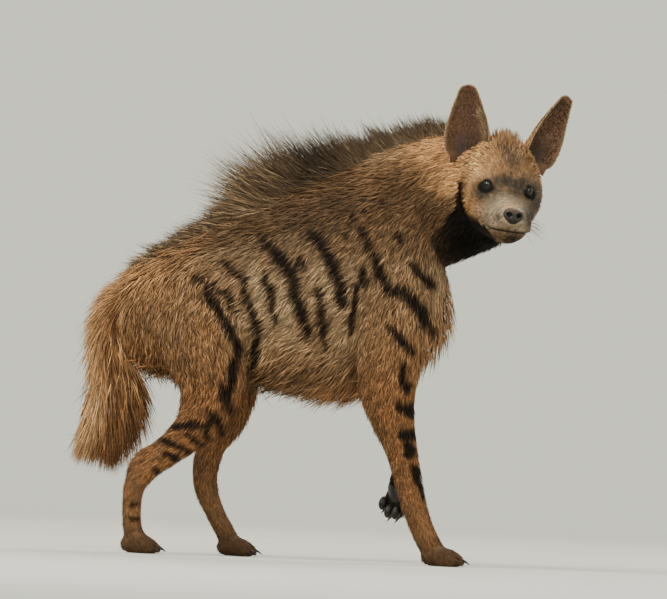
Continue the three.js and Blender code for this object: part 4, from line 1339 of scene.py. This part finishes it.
def make_ear(name, hand, foot, tip, outward):
    """An ear's shell, with hair on its back, rim and inner edge and in its hollow."""
    axes = ear_frame(hand, foot, tip, outward)
    make_ear_shell(name, hand, axes)
    for kind, count in (("back", 2600), ("rim", 2200), ("edge", 600), ("hollow", 1500)):
        count = int(count * SHARE)
        if kind == "back":
            u, v = rng.uniform(-1, 1, count), 0.97 * rng.random(count) ** 0.8
            wall, length, width = np.full(count, 0.4), rng.uniform(5, 9, count) + 8 * smooth(0.25, 0, v), 1.5
            hue = blend("brown", "tawny", 0.5 * smooth(0.5, 0.0, v) + 0.3 * rng.random(count))
        elif kind == "rim":
            u, v = rng.choice([-1, 1], count) * rng.uniform(0.94, 1, count), rng.random(count) * 0.975
            wall, length, width = np.full(count, 1.2), rng.uniform(4, 6.5, count), 0.8
            hue = blend("buff", "brown", 0.5 * rng.random(count))
        elif kind == "edge":
            u, v = -hand * rng.uniform(0.55, 0.98, count), rng.uniform(0.0, 0.62, count)
            wall, length, width = np.full(count, 3.0), rng.uniform(12, 24, count), 1.1
            hue = blend("umber", "buff", 0.75 * rng.random(count))
        else:
            u, v = rng.uniform(-0.9, 0.9, count), rng.uniform(0.04, 0.9, count)
            wall, length, width = ear_wall(u, v), rng.uniform(4, 8, count), 1.1
            hue = blend("umber", "brown", 0.6 * rng.random(count))
        root = ear_points(axes, u, v, wall)
        sideways = ear_points(axes, np.clip(u + 0.03, -1.1, 1.1), v, wall) - ear_points(axes, u - 0.03, v, wall)
        upward = ear_points(axes, u, v + 0.03, wall) - ear_points(axes, u, v - 0.03, wall)
        normal = unit(np.cross(upward, sideways))
        outside = ((root - axes[0] - axes[1] * v[:, None]) * normal).sum(1) > 0
        normal = np.where(outside[:, None], normal, -normal)
        if kind in ("edge", "hollow"):
            normal = -normal
        way = unit(upward) + 0.2 * rng.normal(size=root.shape)
        if kind in EAR_SWEEPS:
            rising, outwards, stray = EAR_SWEEPS[kind]
            way = unit(upward) * rising + unit(sideways) * np.sign(u)[:, None] * outwards
            way += stray * rng.normal(size=root.shape)
        way = unit(way - normal * (way * normal).sum(1, keepdims=True))
        uv = EAR_CORNER + EAR_REACH * np.stack([(u + 1) / 2, v], 1)
        tip_hue = hue * rng.choice([0.7, 1.0, 1.2], (count, 1))
        tufts(
            f"ear_{name}_{kind}_hair", from_head(root), normal @ HEAD_TURN.T, way @ HEAD_TURN.T, length,
            np.full(count, width), rng.uniform(0.1, 0.45, count), hue * 0.85, tip_hue, uv)


def make_eye(name, hand):
    """An eyeball with iris and pupil by the angle from its gaze."""
    centre, gaze, side, up = eye_axes(hand)
    rows, columns = 44, 64
    bend, spin = crossed(np.linspace(0.0, math.pi, rows), ring_angles(columns))
    bulge = EYE_RADIUS + 0.7 * np.exp(-(bend / 0.45) ** 2)
    points = from_head(centre + from_gaze(hand, bend, spin) * bulge[:, None])
    made = new_mesh(f"eye_{name}_ball", points, [sheet_faces(rows, columns, True)])
    turned_out(made, merge=True)
    softened(made)
    ball = unit(to_head(mesh_points(made.data)) - centre)
    bend = np.arccos(np.clip(ball @ gaze, -1, 1))
    spin = np.arctan2(ball @ up, ball @ side)
    brown, pupil, rim = np.array([[34, 22, 14], [6, 5, 5], [16, 12, 10]]) / 255
    hue = blend(brown, "dark", 0.4 + 0.4 * np.sin(spin * 31) * np.sin(spin * 17))
    hue = blend(hue, pupil, smooth(0.42, 0.34, bend))
    paint(made, blend(hue, rim, smooth(0.56, 0.66, bend)), "eye")
    dressed(made, EYE_FINISH)
    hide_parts(f"eye_{name}")


def from_gaze(hand, bend, spin):
    """Directions that lean from an eye's gaze by one angle, turned round it by another."""
    _, gaze, side, up = eye_axes(hand)
    around = side * np.cos(spin)[:, None] + up * np.sin(spin)[:, None]
    return gaze * np.cos(bend)[:, None] + around * np.sin(bend)[:, None]


def oval(spin, across, above):
    """The reach of an oval opening at each angle round it, from its reaches in degrees across and above."""
    return 1 / np.sqrt((np.cos(spin) / math.radians(across)) ** 2 + (np.sin(spin) / math.radians(above)) ** 2)


def make_lid(name, hand):
    """A rolled lid over the eyeball that opens as an almond."""
    centre, gaze, _, _ = eye_axes(hand)
    rows, columns = 16, 72
    t, spin = crossed(np.linspace(0, 1, rows), ring_angles(columns))
    opening = oval(spin, 44, 32)
    bend = opening + (oval(spin, 66, 54) - opening) * t
    height = 0.25 + 1.7 * np.sin(np.minimum(t * 3, math.pi / 2)) * (1 - 0.75 * smooth(0.55, 1, t))
    shell = from_gaze(hand, bend, spin) * (EYE_RADIUS + height)[:, None]
    under = from_gaze(hand, opening, spin)[:columns] * (EYE_RADIUS - 1.2)
    points = from_head(np.concatenate([under, shell]) + centre)
    lid = new_mesh(f"lid_{name}", points, [sheet_faces(rows + 1, columns, True)[:, ::-1]])
    thick = lid.modifiers.new("thickness", "SOLIDIFY")
    thick.thickness = 0.0009
    thick.offset = -1
    finished(lid)
    out = np.arccos(np.clip(unit(to_head(mesh_points(lid.data)) - centre) @ gaze, -1, 1))
    paint(lid, blend("black", "slate", 0.8 * smooth(0.75, 1.25, out)))
    dressed(lid, LID_FINISH)


def make_nose():
    """The nose pad: a swollen ball, flat in front, with two comma nostrils and a groove pressed in."""
    points, quads, caps = ball_grid((0, 0, 0), (1, 1, 1), 90, 120)
    x, y, z = points.T
    shape = np.stack([
        np.sign(x) * np.abs(x) ** 0.8, y * (1 - 0.26 * smooth(0.1, -1.0, z)),
        z * (1 - 0.12 * x) * np.where(z < 0, 1.2, 0.9)], 1)
    placed = NOSE_CENTRE + shape * NOSE_RADII
    for hand in (-1, 1):
        hole = np.array([113.0, hand * 8.5, -38.0])
        off = (placed - hole) @ turn("X", hand * 24)
        hollow = np.exp(-((off[:, 1] / 4.2) ** 2 + (off[:, 2] / 3.4) ** 2) ** 1.5)
        depth = 6.5 * hollow * smooth(100, 106, placed[:, 0])
        slit = 2.2 * near(off[:, 2], -1.5, 1.6) * near(off[:, 1], hand * 7, 4.4) * smooth(98, 104, placed[:, 0])
        placed[:, 0] -= depth + slit
    groove = near(placed[:, 1], 0, 1.3) * smooth(-36, -46, placed[:, 2])
    placed[:, 0] -= 1.6 * groove * smooth(98, 104, placed[:, 0])
    made = new_mesh("nose_pad", from_head(placed), [quads, caps])
    # The black leather is painted lighter, to brown on top, as painted sheen, and goes to black below.
    colour = blend(np.array([0.17, 0.155, 0.145]), "brown", 0.6 * smooth(-36, -27, placed[:, 2]))
    # The nostrils are painted black as painted shade in their holes.
    wet = np.zeros(len(placed))
    for hand in (-1, 1):
        off = placed[:, 1:] - [hand * 8.5, -38.5]
        wet = np.maximum(wet, smooth(1.5, 0.7, np.hypot(off[:, 0] / 4.6, off[:, 1] / 3.8)))
    colour = blend(colour, "black", np.maximum(wet, 0.8 * smooth(-43, -52, placed[:, 2])))
    paint(made, colour)
    dressed(made, NOSE_FINISH)


def make_claws_and_pads():
    """Claws are cones along a quarter bend; pads are pressed balls under the toes and palm of the lifted foot."""
    claws, pads = [], []
    for axes, base, length, breadth, lifted in FOOT_FRAMES:
        for reach, y, _ in toe_tubes(length, breadth):
            s, spin = crossed(np.linspace(0, 1, 9), ring_angles(10))
            radius = 2.9 * (1 - s) ** 0.7 + 0.15
            middle = np.stack([reach - 7 + 14 * s, np.full(len(s), 1.06 * y), 11.5 - 7.5 * s**1.8], 1)
            ring = np.stack([0 * s, 0.75 * radius * np.cos(spin), radius * np.sin(spin)], 1)
            points = np.concatenate([middle + ring, [[reach - 7, 1.06 * y, 11.5], [reach + 7.3, 1.06 * y, 3.9]]])
            claws.append((points @ axes.T + base, sheet_faces(9, 10, True), fans(9, 10)))
            if lifted:
                points, quads, caps = ball_grid((reach - 13, 1.02 * y, 2.0), (13, 8.2, 9), 16, 20)
                pads.append((points @ axes.T + base, quads, caps))
        if lifted:
            points, quads, caps = ball_grid((0, 0, 0), (1, 1, 1), 24, 40)
            x, y, z = points.T
            lobes = 1 + 0.12 * np.cos(3 * np.arctan2(y, x))
            points = np.stack([0.36 * length + 23 * x * lobes, 0.7 * breadth * y * lobes, 2.0 + 12 * z], 1)
            pads.append((points @ axes.T + base, quads, caps))
    for name, parts, finish in (("claws", claws, CLAW_FINISH), ("paw_pads", pads, PAD_FINISH)):
        points, faces = gathered(parts)
        points[:, 2] = np.maximum(points[:, 2], GROUND)
        made = new_mesh(name, points, faces)
        turned_out(made)
        dressed(made, finish)


def make_whiskers():
    """Fine stiff hairs from the lip pads, sweeping out and back."""
    count = 34
    hand = rng.choice([-1, 1], count)
    place = rng.uniform(6.2, 8.6, count)
    angle = np.where(hand > 0, rng.uniform(-0.55, 0.1, count), math.pi - rng.uniform(-0.55, 0.1, count))
    root = head_surface(place, angle)
    normal = unit(root - HEAD.section(place)[0])
    way = unit(normal * 0.9 + np.array([-0.5, 0, -0.25]) + rng.normal(0, 0.12, (count, 3)))
    hue = np.tile(HUES["dark"], (count, 1))
    tufts(
        "whiskers", from_head(root), normal @ HEAD_TURN.T, way @ HEAD_TURN.T, rng.uniform(24, 52, count),
        np.full(count, 0.6), np.zeros(count), hue, hue, map_on(HEAD, place, angle), bends=3, droop=0.12)


def make_floor():
    """A flat pale disc, in rings and spokes, that fades away into the studio's air at its rim."""
    rings, spokes = 40, 96
    reach, spin = crossed(np.linspace(0.02, 9.0, rings), ring_angles(spokes))
    points = np.stack([reach * np.cos(spin), reach * np.sin(spin), np.full(len(reach), -0.0004)], 1)
    faces = [sheet_faces(rings, spokes, True)[:, ::-1], np.arange(spokes)[None]]
    floor = new_mesh("floor", (points - SHIFT) * 1000, faces)
    finish = Finish("pale floor", roughness=0.9, Specular_IOR_Level=0.1)
    stops = {"stops": [(0.3, (0.53, 0.53, 0.50)), (0.7, (0.56, 0.56, 0.53))]}
    finish.shade("Base Color", finish.node("ShaderNodeValToRGB", stops, {"Fac": finish.noise(3)}))
    where = finish.node("ShaderNodeVectorMath", {"operation": "LENGTH"}, {0: finish.places()}, output="Value")
    fade = {"Value": where, "From Min": 1.2, "From Max": 6.5, "To Min": 1.0, "To Max": 0.0}
    finish.shade("Alpha", finish.node("ShaderNodeMapRange", {"interpolation_type": "SMOOTHSTEP"}, fade))
    finish.on(floor)


def add_light(name, place, aim, size, power, hue=(1, 1, 1)):
    """A square soft light that faces a point."""
    light = bpy.data.lights.new(name, "AREA")
    light.size = size
    light.energy = power
    light.color = hue
    made = bpy.data.objects.new(name, light)
    made.location = place
    made.rotation_euler = Vector(np.subtract(aim, place)).to_track_quat("-Z", "Y").to_euler()
    bpy.context.scene.collection.objects.link(made)


def set_camera():
    """A long lens level with the animal's middle, rolled as the picture is."""
    camera = bpy.data.objects.new("camera", bpy.data.cameras.new("camera"))
    distance, view_width, film = 30.0, 1.2006, 36
    middle = np.array([39.1, 0.0, 471.5]) / 1000 + SHIFT
    plane = SHIFT[1] - 0.08
    camera.data.lens = film * distance / view_width
    camera.data.sensor_width = film
    camera.data.clip_end = 80
    camera.matrix_world = (
        Matrix.Translation((middle[0], plane - distance, middle[2]))
        @ Matrix.Rotation(math.pi / 2, 4, "X") @ Matrix.Rotation(PHOTO_TURN, 4, "Z"))
    bpy.context.scene.collection.objects.link(camera)
    bpy.context.scene.camera = camera


FLESH_NODES = [
    "torso", "neck", "head", "tail", "fore_right_upper_arm", "fore_right_forearm", "fore_right_paw",
    "fore_left_upper_arm", "fore_left_forearm", "fore_left_paw", "hind_right_thigh", "hind_right_shank",
    "hind_right_foot", "hind_left_thigh", "hind_left_shank", "hind_left_foot"]

skin = make_skin()
dressed(skin, SKIN)
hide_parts(*FLESH_NODES)
make_coat(skin)
make_mane()
make_crown()
make_tail_brush()
for ear in EARS:
    make_ear(*ear)
for eye in (("right", -1), ("left", 1)):
    make_eye(*eye)
    make_lid(*eye)
make_nose()
make_claws_and_pads()
make_whiskers()
make_floor()
set_camera()
SUN = (1.0, 0.95, 0.88)
add_light("key", (-3.4, -3.0, 4.4), (0, 0, 0.5), 2.4, 400, SUN)
add_light("fill", (3.8, -4.2, 2.0), (0, 0, 0.45), 2.0, 90)
add_light("front", (-0.6, -5.2, 3.4), (0.2, 0, 0.6), 1.8, 90)
add_light("back", (1.6, 3.4, 3.8), (0, 0, 0.6), 2.4, 200, SUN)
world = bpy.data.worlds.new("studio")
world.use_nodes = True
air = world.node_tree.nodes["Background"].inputs
air["Color"].default_value = (0.95, 0.95, 0.8, 1)
air["Strength"].default_value = 0.98
bpy.context.scene.world = world
